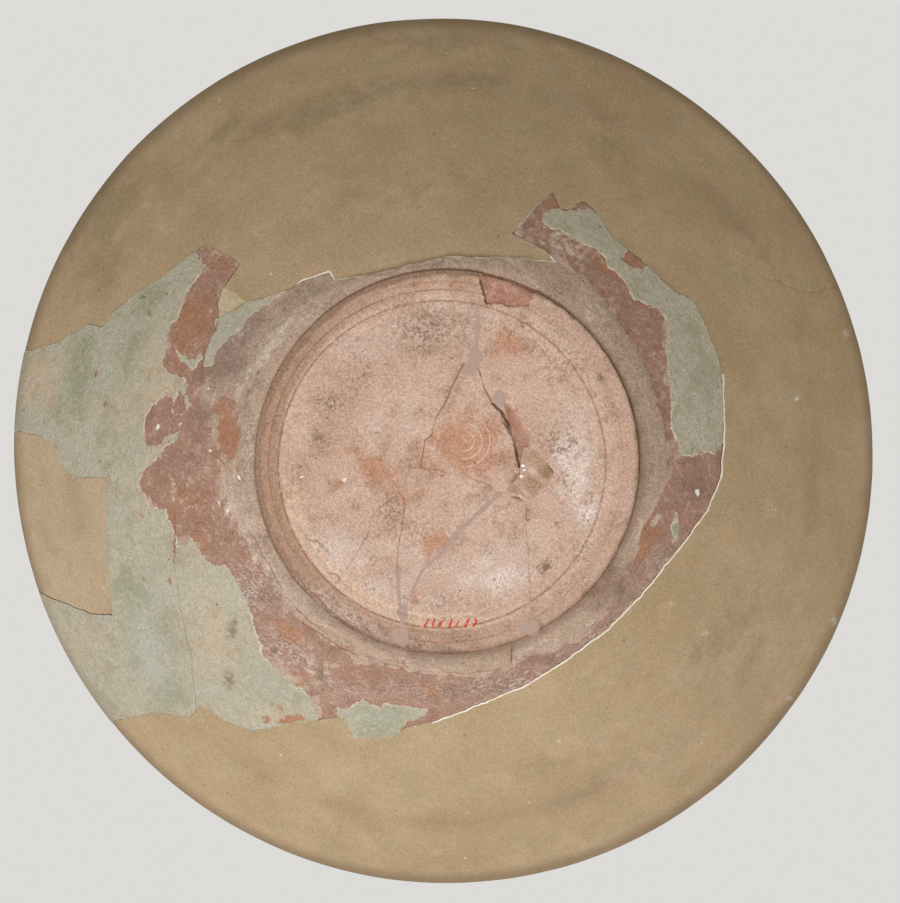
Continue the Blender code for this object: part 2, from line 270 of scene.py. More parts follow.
# Turned lines on the foot's underside: centre, radius and width in picture units, the direction in
# which each is clearest, counted anticlockwise from the right, and how strong it stays opposite
TURNED_LINES = [
    ((441.9, 464.5), 153.5, 1.6, 230, 0.75), ((442.2, 462.4), 169.7, 1.6, 185, 0.2),
    ((442.0, 463.0), 162.5, 1.3, 142, -1.6),
]
SPIRAL_CENTRE = (464, 441)
SPIRAL_RADIUS = 36
SPIRAL_PITCH = 7.5

# The raised strip outside the inner turned line: its radii and the directions it runs between
STRIP_RADII = (154.5, 169.5)
STRIP_DIRECTIONS = (math.radians(188), math.radians(284))

# Clay laid bare outside the foot that is still brick red
BRICK_EDGES = [
    [(203, 245), (240, 262), (238, 272), (221, 287), (216, 299), (219, 328), (206, 350), (203, 385),
     (193, 396), (180, 380), (163, 372), (163, 350), (176, 318), (188, 296), (203, 268)],
    [(140, 440), (146, 405), (178, 385), (200, 398), (214, 430), (222, 466), (226, 500), (246, 540),
     (262, 566), (282, 604), (300, 622), (322, 642), (322, 700), (308, 696), (274, 660), (258, 640),
     (246, 611), (226, 572), (202, 558), (189, 538), (175, 548), (168, 520), (142, 490)],
    [(233, 397), (241, 405), (242, 440), (241, 477), (226, 459), (218, 444), (215, 422), (221, 399)],
    [(318, 640), (345, 652), (380, 668), (432, 672), (471, 678), (512, 669), (560, 652), (606, 622),
     (612, 630), (566, 662), (528, 686), (482, 705), (438, 723), (406, 730), (366, 720), (318, 720)],
    [(726, 448), (722, 480), (708, 512), (678, 552), (640, 598), (604, 624), (614, 600), (624, 572),
     (634, 546), (646, 522), (657, 500), (664, 482), (668, 456), (684, 460), (694, 456)],
    [(510, 236), (537, 204), (556, 192), (604, 214), (655, 268), (630, 292), (657, 308), (667, 322),
     (665, 345), (671, 385), (672, 430), (680, 441), (676, 464), (666, 440), (656, 400), (642, 362),
     (614, 312), (580, 272), (545, 252)],
]

# The paler, smoother ring of clay against the foot, in the stretches that are left; the first few
# have an edge that shows
RING_EDGES = [
    [(262, 556), (275, 578), (290, 600), (300, 618), (328, 638), (348, 647), (362, 643), (372, 630),
     (320, 600), (285, 560), (268, 530)],
    [(362, 652), (389, 663), (401, 666), (396, 655), (378, 642), (366, 640)],
    [(434, 664), (443, 670), (471, 672), (500, 667), (512, 663), (512, 640), (434, 640)],
    [(509, 259), (540, 262), (560, 264), (580, 277), (597, 292), (615, 320), (635, 350), (650, 385),
     (660, 415), (665, 440), (664, 472), (655, 497), (640, 520), (600, 470), (600, 380), (540, 290)],
    [(560, 640), (582, 628), (597, 612), (622, 594), (618, 575), (600, 590), (575, 612), (540, 640)],
    [(300, 300), (340, 284), (400, 272), (450, 262), (505, 262), (505, 280), (420, 285), (340, 310),
     (280, 370), (258, 430), (262, 500), (250, 500), (244, 440), (256, 372), (276, 330)],
]
CLEAR_RING_EDGES = RING_EDGES[:3]

# Soft marks in the view, each by centre, half width, half height, turn and strength
MARKS = {
    "orange": [
        (378, 472, 26, 14, 25, 0.9), (434, 544, 17, 12, -35, 0.9), (506, 341, 26, 15, 20, 0.75),
        (464, 444, 40, 36), (404, 497, 9, 14, 0, 0.6), (415, 598, 6, 9, 0, 0.8), (508, 397, 6, 5, 0, 0.9),
        (436, 430, 10, 14, 20, 0.4), (474, 372, 12, 10, 0, 0.4), (340, 482, 9, 6, 0, 0.5),
        (430, 285, 60, 6, -4, 0.5), (330, 330, 40, 8, -40, 0.35), (530, 515, 12, 8, 0, 0.4),
        (600, 395, 10, 30, -12, 0.3), (470, 430, 50, 40, 0, 0.45), (430, 500, 40, 26, 0, 0.3),
        (360, 455, 26, 16, 0, 0.4), (512, 420, 6, 16, -20, 0.9), (192, 330, 26, 46, 18, 0.75),
        (222, 262, 20, 14, 0, 0.7), (228, 438, 18, 48, -6), (184, 500, 34, 26, 0, 0.6),
        (196, 545, 16, 12, 0, 0.8), (238, 556, 18, 14, 40, 0.35), (290, 632, 30, 10, 34, 0.8),
        (300, 684, 10, 16, 0, 0.7), (350, 672, 34, 8, 18, 0.6), (646, 540, 10, 30, 24, 0.9),
        (556, 205, 20, 8, 0, 0.8), (630, 262, 14, 9, 30, 0.8), (430, 690, 10, 5, 20, 0.8),
        (600, 262, 60, 6, 42, 0.5), (640, 300, 30, 8, 40, 0.6), (672, 300, 10, 40, 0, 0.4),
    ],
    "grey": [
        (432, 330, 30, 20, -10, 0.8), (420, 346, 36, 12, 0, 0.6), (330, 402, 15, 9, 0, 0.9),
        (319, 438, 10, 12, 0, 0.9), (563, 442, 22, 14, 30, 0.45), (390, 512, 12, 11, 0, 0.6),
        (546, 568, 8, 7, -30, 0.9), (601, 377, 5, 7), (365, 372, 22, 14, 0, 0.35), (352, 408, 22, 10, 0, 0.3),
        (500, 310, 30, 8, 10, 0.3), (316, 352, 20, 22, 40, 0.35), (250, 330, 26, 20, -40, 0.7),
        (232, 365, 22, 26, -30, 0.6), (280, 312, 26, 12, -30, 0.4), (450, 266, 60, 7, 2, 0.65),
        (520, 276, 26, 7, 12, 0.5), (249, 440, 6, 70, 2, 0.9), (300, 300, 60, 8, -36, 0.7),
        (262, 350, 8, 50, 34, 0.5), (560, 322, 24, 10, 42, 0.35), (640, 450, 8, 30, 0, 0.2),
        (646, 340, 12, 50, -16, 0.25), (660, 560, 10, 24, 40, 0.6), (630, 600, 12, 20, 40, 0.6),
        (285, 600, 16, 26, -40, 0.4), (430, 660, 60, 8, 0, 0.3), (560, 320, 20, 14, 0, 0.3),
    ],
    "pale": [
        (575, 470, 22, 46), (588, 510, 16, 26, 10, 0.8), (372, 424, 20, 20, 0, 0.45),
        (396, 325, 12, 9, -30, 0.5), (360, 350, 40, 26, 0, 0.3), (490, 575, 60, 26, 0, 0.75),
        (380, 590, 70, 18, 14, 0.5), (534, 258, 22, 5, 5), (560, 335, 24, 20, 40, 0.15),
        (236, 330, 8, 10, 0, 0.5), (254, 560, 9, 30, -24, 0.5), (250, 500, 10, 40, -14, 0.15),
        (345, 560, 40, 26, 40, 0.7), (318, 668, 26, 14, 10, 0.5), (540, 645, 40, 8, -26, 0.4),
        (270, 350, 8, 50, 34, 0.9), (298, 603, 11, 40, -42, 0.5), (270, 565, 8, 22, -30, 0.5),
        (180, 500, 30, 24, 0, 0.25), (566, 246, 40, 14, 35, 0.65), (650, 345, 10, 50, -14, 0.25),
        (230, 510, 8, 14, 0, 0.6), (600, 560, 12, 30, 40, 0.4), (195, 480, 16, 18, 0, 0.25),
        (590, 310, 24, 14, 45, 0.6),
    ],
    "dark": [
        (232, 627, 9, 14, 10, 0.75), (229, 680, 9, 11, 0, 0.7), (546, 569, 6, 4, -30),
        (265, 538, 5, 12, -30, 0.6), (541, 627, 2.5, 5), (601, 378, 3, 5, 0, 0.8), (274, 650, 5, 4, 0, 0.9),
        (676, 502, 3, 4), (320, 676, 4, 22, 0, 0.7), (132, 312, 3, 3), (144, 297, 3, 2), (151, 314, 2, 3),
        (97, 373, 3, 2), (106, 403, 2, 3), (697, 493, 7, 11, 0, 0.6),
    ],
    # White marks: the first four and the one at (210, 451) are painted glints on glossy consolidant, the
    # others white spots
    "white": [
        (158, 426, 1.5, 4, 10, 0.7), (180, 421, 1.3, 4, 5, 0.75), (174, 500, 1.2, 5, -10, 0.8),
        (219, 505, 1.3, 5, -20, 0.65), (344, 480, 3.6, 2.8, 0, 0.9), (301, 476, 2.4, 2.0, 0, 0.8),
        (210, 451, 2.0, 1.4, 0, 0.7), (205, 291, 2, 1.6, 0, 0.5), (697, 493, 3.2, 5.5, 0, 0.8),
        (208, 388, 2.4, 2.2, 0, 0.7), (240, 478, 1.6, 5, -40, 0.8), (228, 512, 1.4, 3, -30, 0.7),
    ],
    # Greener, creamier and more watery glaze, and rust spots in it
    "green": [
        (81, 368, 13, 50, 13), (70, 400, 22, 26, 10, 0.7), (150, 300, 16, 20, 40, 0.8),
        (133, 350, 10, 44, 14, 0.8), (132, 590, 26, 40, 0, 0.8), (150, 640, 30, 40, 10, 0.75),
        (170, 690, 22, 22, 0, 0.8), (110, 440, 20, 40, 0, 0.4), (378, 720, 40, 18, 0, 0.9),
        (700, 370, 30, 80, 0, 0.3), (610, 235, 60, 30, 35, 0.25), (240, 320, 30, 20, -35, 0.3),
        (676, 525, 6, 16), (290, 690, 30, 12, 30, 0.4), (150, 600, 22, 30, 0, 0.5),
    ],
    "cream": [
        (40, 380, 22, 34, 10), (125, 408, 20, 40, 14, 0.6), (160, 400, 22, 56, 0, 0.95),
        (150, 360, 14, 30, 10, 0.5), (215, 640, 30, 60, -10, 0.7), (80, 650, 26, 40, 30, 0.6),
        (155, 480, 20, 30, 0, 0.6), (270, 715, 30, 10, 0, 0.7), (200, 560, 16, 20, 0, 0.5),
        (60, 640, 20, 20, 0, 0.6),
    ],
    "aqua": [
        (150, 650, 20, 50, -16, 0.9), (160, 590, 12, 30, 0, 0.5), (215, 690, 24, 16, 0, 0.4),
        (375, 718, 24, 8, 0, 0.6),
    ],
    "rust": [
        (141, 513, 4, 7, 0, 0.6), (170, 580, 2, 5, 0, 0.9), (291, 719, 13, 5, -10), (266, 719, 5, 4, 0, 0.9),
        (144, 579, 2, 2, 0, 0.9), (90, 600, 2, 3, 0, 0.8), (180, 560, 4, 3, 0, 0.6), (118, 645, 2, 2, 0, 0.9),
        (275, 705, 14, 3, 30, 0.7), (97, 372, 3, 3, 0, 0.8),
    ],
    # Darker, purplish brown stretches of the bare wall
    "umber": [
        (226, 356, 24, 36, 24), (202, 410, 9, 34, 4, 0.8), (256, 318, 26, 12, -34, 0.9),
        (248, 596, 24, 16, 50, 0.9), (500, 688, 80, 13, -8, 0.7), (570, 660, 40, 12, -32, 0.9),
        (690, 480, 20, 20, 0, 0.7), (650, 590, 30, 12, -50, 0.85), (612, 588, 16, 34, 40, 0.7),
        (630, 400, 14, 60, -16, 0.2),
    ],
    # Stretches with fine white flecks
    "flecked": [
        (246, 590, 22, 32, -36), (284, 652, 34, 18, 24), (236, 505, 12, 26, -24, 0.8),
        (340, 690, 40, 12, 8, 0.6), (410, 690, 50, 12, 0, 0.5), (520, 682, 70, 13, -10, 0.9),
        (600, 640, 40, 12, -40, 0.9), (660, 570, 26, 22, -50, 0.7), (340, 612, 50, 12, 34),
        (216, 250, 20, 8, 20, 0.7), (300, 325, 40, 8, -40, 0.7), (440, 258, 60, 6, 0, 0.9),
        (250, 440, 8, 60, 4, 0.8), (270, 570, 12, 30, -36, 0.8), (330, 404, 12, 9, 0, 0.8),
        (588, 545, 14, 26, 24, 0.8),
    ],
    # Where the foot is thick with fine brown pits
    "pits": [
        (430, 330, 40, 26), (330, 402, 20, 14), (322, 440, 14, 14), (356, 372, 34, 22, -20, 0.7),
        (560, 442, 26, 18, 20), (392, 512, 16, 16), (420, 530, 26, 12, 0, 0.7), (566, 482, 10, 26, 0, 0.9),
        (560, 360, 34, 26, 40, 0.7), (590, 500, 10, 30, 12, 0.7), (500, 330, 50, 16, 14, 0.6),
        (440, 600, 60, 10, 8, 0.5), (330, 520, 30, 16, 0, 0.4), (375, 560, 20, 12, 20, 0.6),
        (300, 480, 10, 30, 0, 0.5), (580, 560, 14, 24, 30, 0.6),
    ],
}

# The patch of cream plaster with yellow specks that lies beside the upper brick patch
SPECKLED_EDGE = [(221, 287), (244, 301), (219, 320)]

# Lighter and darker tone of the paint on each plaster, as display values
PAINT_TONES = {
    "painted_plaster": ((182, 158, 124), (171, 145, 109)),
    "rim_patch_plaster": ((192, 168, 138), (184, 160, 130)),
}

# Soft darker smudges in the paint of the plaster, its white flecks, its darker band and its faint crack
SMUDGES = [
    (224, 131, 32, 8, -38, 0.9), (168, 178, 46, 16, -42, 0.5), (330, 110, 90, 16, -18, 0.7),
    (480, 78, 60, 14, 4, 0.5), (610, 150, 40, 20, 30, 0.4), (720, 640, 70, 22, -46, 0.6),
    (620, 770, 60, 18, -30, 0.4), (800, 420, 14, 60, 4, 0.2), (350, 830, 60, 14, 16, 0.3),
    (760, 250, 40, 20, 50, 0.4), (400, 190, 90, 24, -8, 0.3), (100, 260, 24, 40, 30, 0.8),
    (560, 760, 70, 16, -16, 0.4), (106, 215, 24, 66, 36), (440, 40, 150, 14, 0, 0.5),
    (440, 862, 130, 14, 0, 0.3),
]
PLASTER_FLECKS = [
    (846, 333, 2.2, 1.6), (796, 398, 1.6, 1.6), (706, 633, 1.4, 1.4), (835, 620, 1.6, 3.4),
    (790, 698, 2.2, 1.4), (672, 604, 1.2, 1.2), (560, 742, 1.3, 1.0),
]
BAND_RADIUS = 372
BAND_WIDTH = 9
FAINT_CRACK = [(764, 276), (785, 284), (803, 292), (822, 291), (838, 284)]

# Where the white line between sherd and plaster shows most, and where it shows a little less clearly
WHITE_LIP = [(722, 380), (723, 456)] + stretch(SHERD_EDGE, (720, 477), (438, 721))
TOP_LIP = stretch(SHERD_EDGE, (304, 281), (559, 263))

# Dabs of red paint on the foot, none of them a character
RED_DABS = [
    [(425, 627), (428, 620)], [(432, 628), (435, 620)], [(440, 627), (443, 621)], [(449, 628), (452, 620)],
    [(456, 627), (459, 621)], [(466, 628), (469, 620)], [(474, 627), (477, 621)],
]

# How far in from its edge the rim is darkened with painted shade; how far below its top relief fades, and by
# how much
RIM_PAINTED_SHADE_WIDTH = 0.0048
RIM_FADE = (0.0040, 0.0010)
RIM_SMOOTHING = 0.8

# Directions in the view in which the foot's edge is most worn and its band is darkest
WORN_DIRECTION = math.radians(150)
DARK_DIRECTION = math.radians(200)

# Width of the cells in the glaze's fine crazing
CRAZE_SIZE = 0.0045

# Relief in metres along the way the surface faces, below zero where it is sunk
RELIEF = {
    "glaze": 0.00020, "rough": 0.00005, "waves": 0.00002, "crack": -0.00032, "filler": 0.00004,
    "lines": -0.00030, "arcs": 0.00004, "strip": 0.00010, "chip": -0.00070, "rough chip": -0.00008,
    "loss": -0.00100, "rough loss": -0.00012, "sunk": -0.00060, "rough sunk": -0.00016, "ring": 0.00035,
    "fillet": FOOT_FILLET,
}
PLASTER_RELIEF = {"slow": 0.00008, "middle": 0.00004, "band": -0.00008, "crack": -0.00010}

# Light and floor; lamps by place right of, above and along the axis, size, power and colour
FLOOR_DROP = 0.0003
FLOOR_SIZE = 6.0
FLOOR_COLOUR = (0.75, 0.74, 0.72, 1.0)
FLOOR_ROUGHNESS = 0.9
BACKDROP = (0.72, 0.71, 0.69, 1.0)
AMBIENT = 0.50
AMBIENT_COLOUR = (1.0, 0.972, 0.888, 1.0)
LAMP_TARGET = Vector((0, 0, 0.03))
LIGHTS = [
    ("key", -0.28, -0.60, -1.08, 0.7, 11.0, (1.0, 1.01, 1.10)),
    ("upper", 0.7, -0.8, 1.4, 1.4, 12.0, (1.0, 1.0, 1.0)),
]


def rgb(red, green, blue):
    """Shader colour from display values of 0 to 255."""
    linear = [((v / 255 + 0.055) / 1.055) ** 2.4 for v in (red, green, blue)]
    return (*linear, 1.0)


def ease(value, low, high):
    """Smooth step from 0 at low to 1 at high."""
    share = np.clip((value - low) / (high - low), 0.0, 1.0)
    return share * share * (3 - 2 * share)


# Turned form

def wall_share(radius):
    """How far out a radius lies on the outer wall, from 0 at the foot to 1 at the rim."""
    return np.clip((radius - FOOT_RADIUS) / (WALL_END_RADIUS - FOOT_RADIUS), 0.0, 1.0)


def wall_height(radius):
    """Height of the outer wall over the foot's plane."""
    return FOOT_HEIGHT + (WALL_END_HEIGHT - FOOT_HEIGHT) * wall_share(radius) ** WALL_POWER


def wall_slope(share):
    return math.atan(math.tan(RIM_SLOPE) * share ** (WALL_POWER - 1))


def spaced(start, end, spacing):
    """Even values from start up to but not including end."""
    count = max(1, math.ceil(abs(end - start) / spacing))
    return [start + (end - start) * step / count for step in range(count)]


def underside_rings():
    """Rings of the foot from its centre out: radius, height and the way they face in the section."""
    down = -math.pi / 2
    bevel = FOOT_EDGE_BEVEL
    rings = [(radius, FOOT_HOLLOW * (1 - (radius / HOLLOW_END) ** 2), down)
             for radius in spaced(0.0, HOLLOW_END, OUTER_GRID)]
    rings += [(radius, 0.0, down) for radius in spaced(HOLLOW_END, FOOT_RADIUS - bevel, OUTER_GRID / 2)]
    rings += [(FOOT_RADIUS - inset, height, down + math.radians(turn))
              for inset, height, turn in ((bevel, 0.0, 25), (bevel / 3, bevel / 3, 45), (0.0, bevel, 70))]
    return rings + [(FOOT_RADIUS, height, 0.0)
                    for height in spaced(bevel, FOOT_HEIGHT - FOOT_FILLET, OUTER_GRID)[1:]]


def outer_wall_rings():
    return [(radius, float(wall_height(radius)), wall_slope(float(wall_share(radius))) - math.pi / 2)
            for radius in spaced(FOOT_RADIUS, WALL_END_RADIUS, OUTER_GRID * 0.8)]


def rim_rings():
    """Half-round rim, from the outer wall over the top to the inner wall."""
    start = RIM_SLOPE - math.pi / 2
    turns = [start + math.pi * step / RIM_ARC_STEPS for step in range(RIM_ARC_STEPS + 1)]
    turns[round(-start / math.pi * RIM_ARC_STEPS)] = 0.0
    return [(RIM_RADIUS - RIM_ROUNDING + RIM_ROUNDING * math.cos(turn),
             BOWL_HEIGHT - RIM_ROUNDING + RIM_ROUNDING * math.sin(turn), turn) for turn in turns]


def inner_wall_point(share):
    """Radius, height and facing of the inner wall, behind a share of the outer wall's way out."""
    radius = FOOT_RADIUS + (WALL_END_RADIUS - FOOT_RADIUS) * share
    height = float(wall_height(radius))
    thickness = WALL_THICKNESS + (RIM_THICKNESS - WALL_THICKNESS) * share
    slope = wall_slope(share)
    return radius - thickness * math.sin(slope), height + thickness * math.cos(slope), slope + math.pi / 2


def inside_rings():
    """Rings of the inner wall from the rim down, and of the floor in to its centre."""
    step = INNER_GRID / (RIM_RADIUS - FOOT_RADIUS)
    rings = [inner_wall_point(share) for share in spaced(1.0, 0.0, step)[1:]]
    wall_r, wall_z, _ = inner_wall_point(0.0)
    for radius in spaced(wall_r, 0.0, INNER_GRID):
        rise = (wall_z - FLOOR_THICKNESS) * (radius / wall_r) ** FLOOR_RISE_POWER
        lean = math.atan(rise * FLOOR_RISE_POWER / max(radius, INNER_GRID))
        rings.append((radius, FLOOR_THICKNESS + rise, math.pi / 2 + lean))
    return rings + [(0.0, FLOOR_THICKNESS, math.pi / 2)]


def ring_count(radius, spacing):
    """Vertices on a ring, from a series that doubles so that neighbouring rings join up."""
    count = 12
    while count < 2 * math.pi * radius / spacing:
        count *= 2
    return count


def ring_band(first, count, after, count_after):
    """Triangles between two rings whose counts are equal or differ by a factor of two, or meet a point."""
    if count > count_after:
        return ring_band(after, count_after, first, count)[:, ::-1]
    a, b = np.arange(count), np.arange(count_after)
    a_next, b_next = first + (a + 1) % count, after + (b + 1) % count_after
    if count == 1:
        return np.stack((np.full(count_after, first), b_next, after + b), 1)
    if count == count_after:
        faces = ((first + a, a_next, after + b), (a_next, b_next, after + b))
    else:
        middle = after + 2 * a + 1
        faces = ((first + a, middle, after + 2 * a), (first + a, a_next, middle),
                 (a_next, after + (2 * a + 2) % count_after, middle))
    return np.concatenate([np.stack(face, 1) for face in faces])


def warp(data):
    """Draw the rim out of round and shift the foot's edge off centre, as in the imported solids."""
    radius = np.hypot(data[:, 0], data[:, 1])
    azimuth = np.arctan2(data[:, 1], data[:, 0])
    growth = wall_share(radius) ** 2 * radius / RIM_RADIUS
    drawn = radius + OUT_OF_ROUND * growth * np.cos(2 * (azimuth - LONG_AXIS_AZIMUTH))
    on_foot = np.clip((radius - HOLLOW_END) / (FOOT_RADIUS - HOLLOW_END), 0.0, 1.0)
    on_wall = np.clip(1 - (radius - FOOT_RADIUS) / SHIFT_FADE, 0.0, 1.0)
    weight = np.where(radius < FOOT_RADIUS, on_foot, on_wall) * (1 - data[:, SIDE])
    data[:, 0] = drawn * np.cos(azimuth) + FOOT_MIDDLE[0] * weight
    data[:, 1] = drawn * np.sin(azimuth) + FOOT_MIDDLE[1] * weight


def turned_bowl():
    """The whole bowl as one closed mesh: rows of place, way it faces and side, and its triangles.

    Side is 0 outside and 1 inside, and passes a half at the rim's outermost ring.
    """
    sections = ((underside_rings(), OUTER_GRID, 0.0), (outer_wall_rings() + rim_rings(), OUTER_GRID, 0.5),
                (inside_rings(), INNER_GRID, 0.5))
    rows, triangles = [], []
    first = 0
    last = None
    for rings, spacing, upright_side in sections:
        for radius, height, facing in rings:
            count = 1 if radius == 0 else ring_count(radius, spacing)
            if last and count > 1 and last[1] > 1:
                count = min(max(count, last[1] // 2), last[1] * 2)
            turn = 2 * np.pi * np.arange(count) / count
            ways, level = np.column_stack((np.cos(turn), np.sin(turn))), np.ones((count, 1))
            inset = radius - SKIN * math.cos(facing) if radius else 0.0
            side = 0.5 + 0.5 * np.sign(facing) if facing else upright_side
            rows.append(np.hstack((inset * ways, (height - SKIN * math.sin(facing)) * level,
                                   math.cos(facing) * ways, math.sin(facing) * level, side * level)))
            if last:
                triangles.append(ring_band(*last, first, count))
            last = (first, count)
            first += count
    data = np.concatenate(rows)
    warp(data)
    return data, np.concatenate(triangles)


# Finer mesh along lines and edges, and clean cuts

def unique_edges(ends):
    """Every edge once, and the numbers of the edges that the pairs in each row stand for."""
    pairs = np.sort(ends.reshape(-1, 2), axis=1)
    size = int(pairs.max()) + 1
    keys, numbers = np.unique(pairs[:, 0] * size + pairs[:, 1], return_inverse=True)
    return np.stack((keys // size, keys % size), 1), numbers.reshape(len(ends), -1)


def refine(data, triangles):
    """Halve the edges that are longer than the spacing wanted at their middle, in several rounds.

    Corners 0, 1 and 2 of a triangle are followed by the middles 3, 4 and 5 of its edges.
    """
    for _ in range(REFINE_ROUNDS):
        edges, of_triangle = unique_edges(triangles[:, [0, 1, 1, 2, 2, 0]])
        start, end = data[edges[:, 0]], data[edges[:, 1]]
        middle = (start + end) / 2
        split = np.linalg.norm(start[:, :3] - end[:, :3], axis=1) > wanted_spacing(middle) * HALVE_OVER
        number = np.where(split, len(data) - 1 + np.cumsum(split), -1)
        data = np.concatenate((data, middle[split]))
        mid = number[of_triangle]
        halved = (mid >= 0).sum(1)
        made = [triangles[halved == 0]]
        for turn in range(3):
            corners = np.hstack((np.roll(triangles, -turn, 1), np.roll(mid, -turn, 1)))
            one = corners[(halved == 1) & (corners[:, 3] >= 0)]
            two = corners[(halved == 2) & (corners[:, 5] < 0)]
            made += [one[:, face] for face in ((0, 3, 2), (3, 1, 2))]
            made += [two[:, face] for face in ((3, 1, 4), (0, 3, 4), (0, 4, 2))]
        three = np.hstack((triangles, mid))[halved == 3]
        made += [three[:, face] for face in ((0, 3, 5), (3, 1, 4), (5, 4, 2), (3, 4, 5))]
        triangles = np.concatenate(made)
    return data, triangles


def without_crumbs(triangles, depth):
    """Depth with the sign changed at the few places that stand alone, so that a cut leaves no crumbs."""
    depth = np.where(np.abs(depth) < LEAST_DEPTH, LEAST_DEPTH, depth)
    edges, _ = unique_edges(triangles[:, [0, 1, 1, 2, 2, 0]])
    for _ in range(CRUMB_ROUNDS):
        alike = (depth[edges[:, 0]] > 0) == (depth[edges[:, 1]] > 0)
        company = np.bincount(edges[alike].ravel(), minlength=len(depth))
        depth = np.where(company < 2, -depth, depth)
    return depth


def clip(data, triangles, depth):
    """The part of a mesh where depth is above zero, and the directed edges along its cut.

    In a triangle that is cut, corner 0 stands alone, and 3 and 4 are the cuts towards corners 1 and 2.
    """
    depth = without_crumbs(triangles, depth)
    above = depth > 0
    kept = above[triangles].sum(1)
    mixed = triangles[(kept == 1) | (kept == 2)]
    lone_above = above[mixed].sum(1) == 1
    lone = np.argmax(above[mixed] == lone_above[:, None], axis=1)
    corners = np.take_along_axis(mixed, (lone[:, None] + np.arange(3)) % 3, 1)
    ends, number = unique_edges(corners[:, [0, 1, 0, 2]])
    start, end = ends.T
    share = (depth[start] / (depth[start] - depth[end]))[:, None]
    cut = data[start] * (1 - share) + data[end] * share
    corners = np.hstack((corners, number + len(data)))
    up, down = corners[lone_above], corners[~lone_above]
    made = (triangles[kept == 3], up[:, (0, 3, 4)], down[:, (3, 1, 2)], down[:, (3, 2, 4)])
    border = np.concatenate((up[:, (3, 4)], down[:, (4, 3)]))
    return np.concatenate((data, cut)), np.concatenate(made), border


def border_loops(border):
    """Directed border edges as closed loops of vertices."""
    following = dict(border.tolist())
    loops = []
    while following:
        start = next(iter(following))
        loop = [start]
        step = following.pop(start)
        while step != start:
            loop.append(step)
            step = following.pop(step)
        loops.append(loop)
    return loops


def along(data, row):
    """Share of its plan length at each vertex of a row."""
    steps = np.linalg.norm(np.diff(data[row, :2], axis=0), axis=1)
    length = np.concatenate(([0.0], np.cumsum(steps)))
    return length / length[-1]


def close_cut(data, loop):
    """Triangles of the joint face between the outer and the inner run of one border loop."""
    outside = data[loop, SIDE] < 0.5
    start = next(i for i in range(len(loop)) if outside[i] and not outside[i - 1])
    loop = loop[start:] + loop[:start]
    split = int(np.argmin(data[loop, SIDE] < 0.5))
    outer, inner = loop[:split], loop[split:][::-1]
    outer_share, inner_share = along(data, outer), along(data, inner)
    made = []
    i = j = 0
    while i < len(outer) - 1 or j < len(inner) - 1:
        at_inner_end = j == len(inner) - 1
        if i < len(outer) - 1 and (at_inner_end or outer_share[i + 1] <= inner_share[j + 1]):
            made.append((outer[i + 1], outer[i], inner[j]))
            i += 1
        else:
            made.append((inner[j], inner[j + 1], outer[i]))
            j += 1
    return made


def used_rows(rows, triangles):
    """The rows that triangles use, and the new number of each."""
    used = np.unique(triangles)
    number = np.full(len(rows), -1)
    number[used] = np.arange(len(used))
    return rows[used], number


def cut_piece(data, triangles, depth):
    """A closed piece of the bowl: what lies inside its edge, with joint faces along the cut."""
    data, triangles, border = clip(data, triangles, depth)
    triangles = np.concatenate([triangles] + [close_cut(data, loop) for loop in border_loops(border)])
    data, number = used_rows(data, triangles)
    return data, number[triangles]


# Reading the view

def view_point(x, y):
    """Where the view shows the outer surface at a plan position."""
    radius = np.hypot(x, y)
    height = np.where(radius < FOOT_RADIUS, 0.0, wall_height(radius))
    rim_distance = VIEW_DISTANCE + BOWL_HEIGHT
    distance = VIEW_DISTANCE + height
    scale = VIEW_RIM_RADIUS / RIM_RADIUS * rim_distance / distance
    share = height / distance * rim_distance / BOWL_HEIGHT
    right = x * math.cos(VIEW_RIGHT_AZIMUTH) + y * math.sin(VIEW_RIGHT_AZIMUTH)
    up = x * math.sin(VIEW_RIGHT_AZIMUTH) - y * math.cos(VIEW_RIGHT_AZIMUTH)
    foot, rim = np.array(VIEW_FOOT_CENTRE), np.array(VIEW_RIM_CENTRE)
    centre = foot + (rim - foot) * share[:, None]
    return np.stack((centre[:, 0] + right * scale, centre[:, 1] - up * scale), 1)


def view_place(right, up, height=0.0):
    """Point of the scene from distances to the right of and above the axis in the view."""
    azimuth = VIEW_RIGHT_AZIMUTH
    return (right * math.cos(azimuth) + up * math.sin(azimuth),
            right * math.sin(azimuth) - up * math.cos(azimuth), height)


def foot_place(x, y):
    """Plan position of a point of the view on the foot's underside."""
    scale = VIEW_RIM_RADIUS / RIM_RADIUS * (VIEW_DISTANCE + BOWL_HEIGHT) / VIEW_DISTANCE
    return view_place((x - VIEW_FOOT_CENTRE[0]) / scale, (VIEW_FOOT_CENTRE[1] - y) / scale)


def ripple(points, size, seed, waves=18):
    """Smooth random waves about one size long, mostly between minus one and one."""
    random = np.random.default_rng(seed)
    ways = random.normal(size=(waves, points.shape[1]))
    ways /= np.linalg.norm(ways, axis=1)[:, None]
    lengths, starts = random.uniform(0.7, 1.6, waves) * size, random.uniform(0, 2 * math.pi, waves)
    total = np.zeros(len(points))
    for way, length, start in zip(ways, lengths, starts):
        total += np.sin(points @ (way * 2 * math.pi / length) + start)
    return total / math.sqrt(waves)


def ragged_view(rows):
    """View position of each row, wandering slightly so that every line read there is irregular."""
    plan = rows[:, :2]
    wander = [0.45 * ripple(plan, long, seed) + 0.25 * ripple(plan, short, seed + 1)
              for long, short, seed in VIEW_RIPPLES]
    return view_point(rows[:, 0], rows[:, 1]) + np.stack(wander, 1)


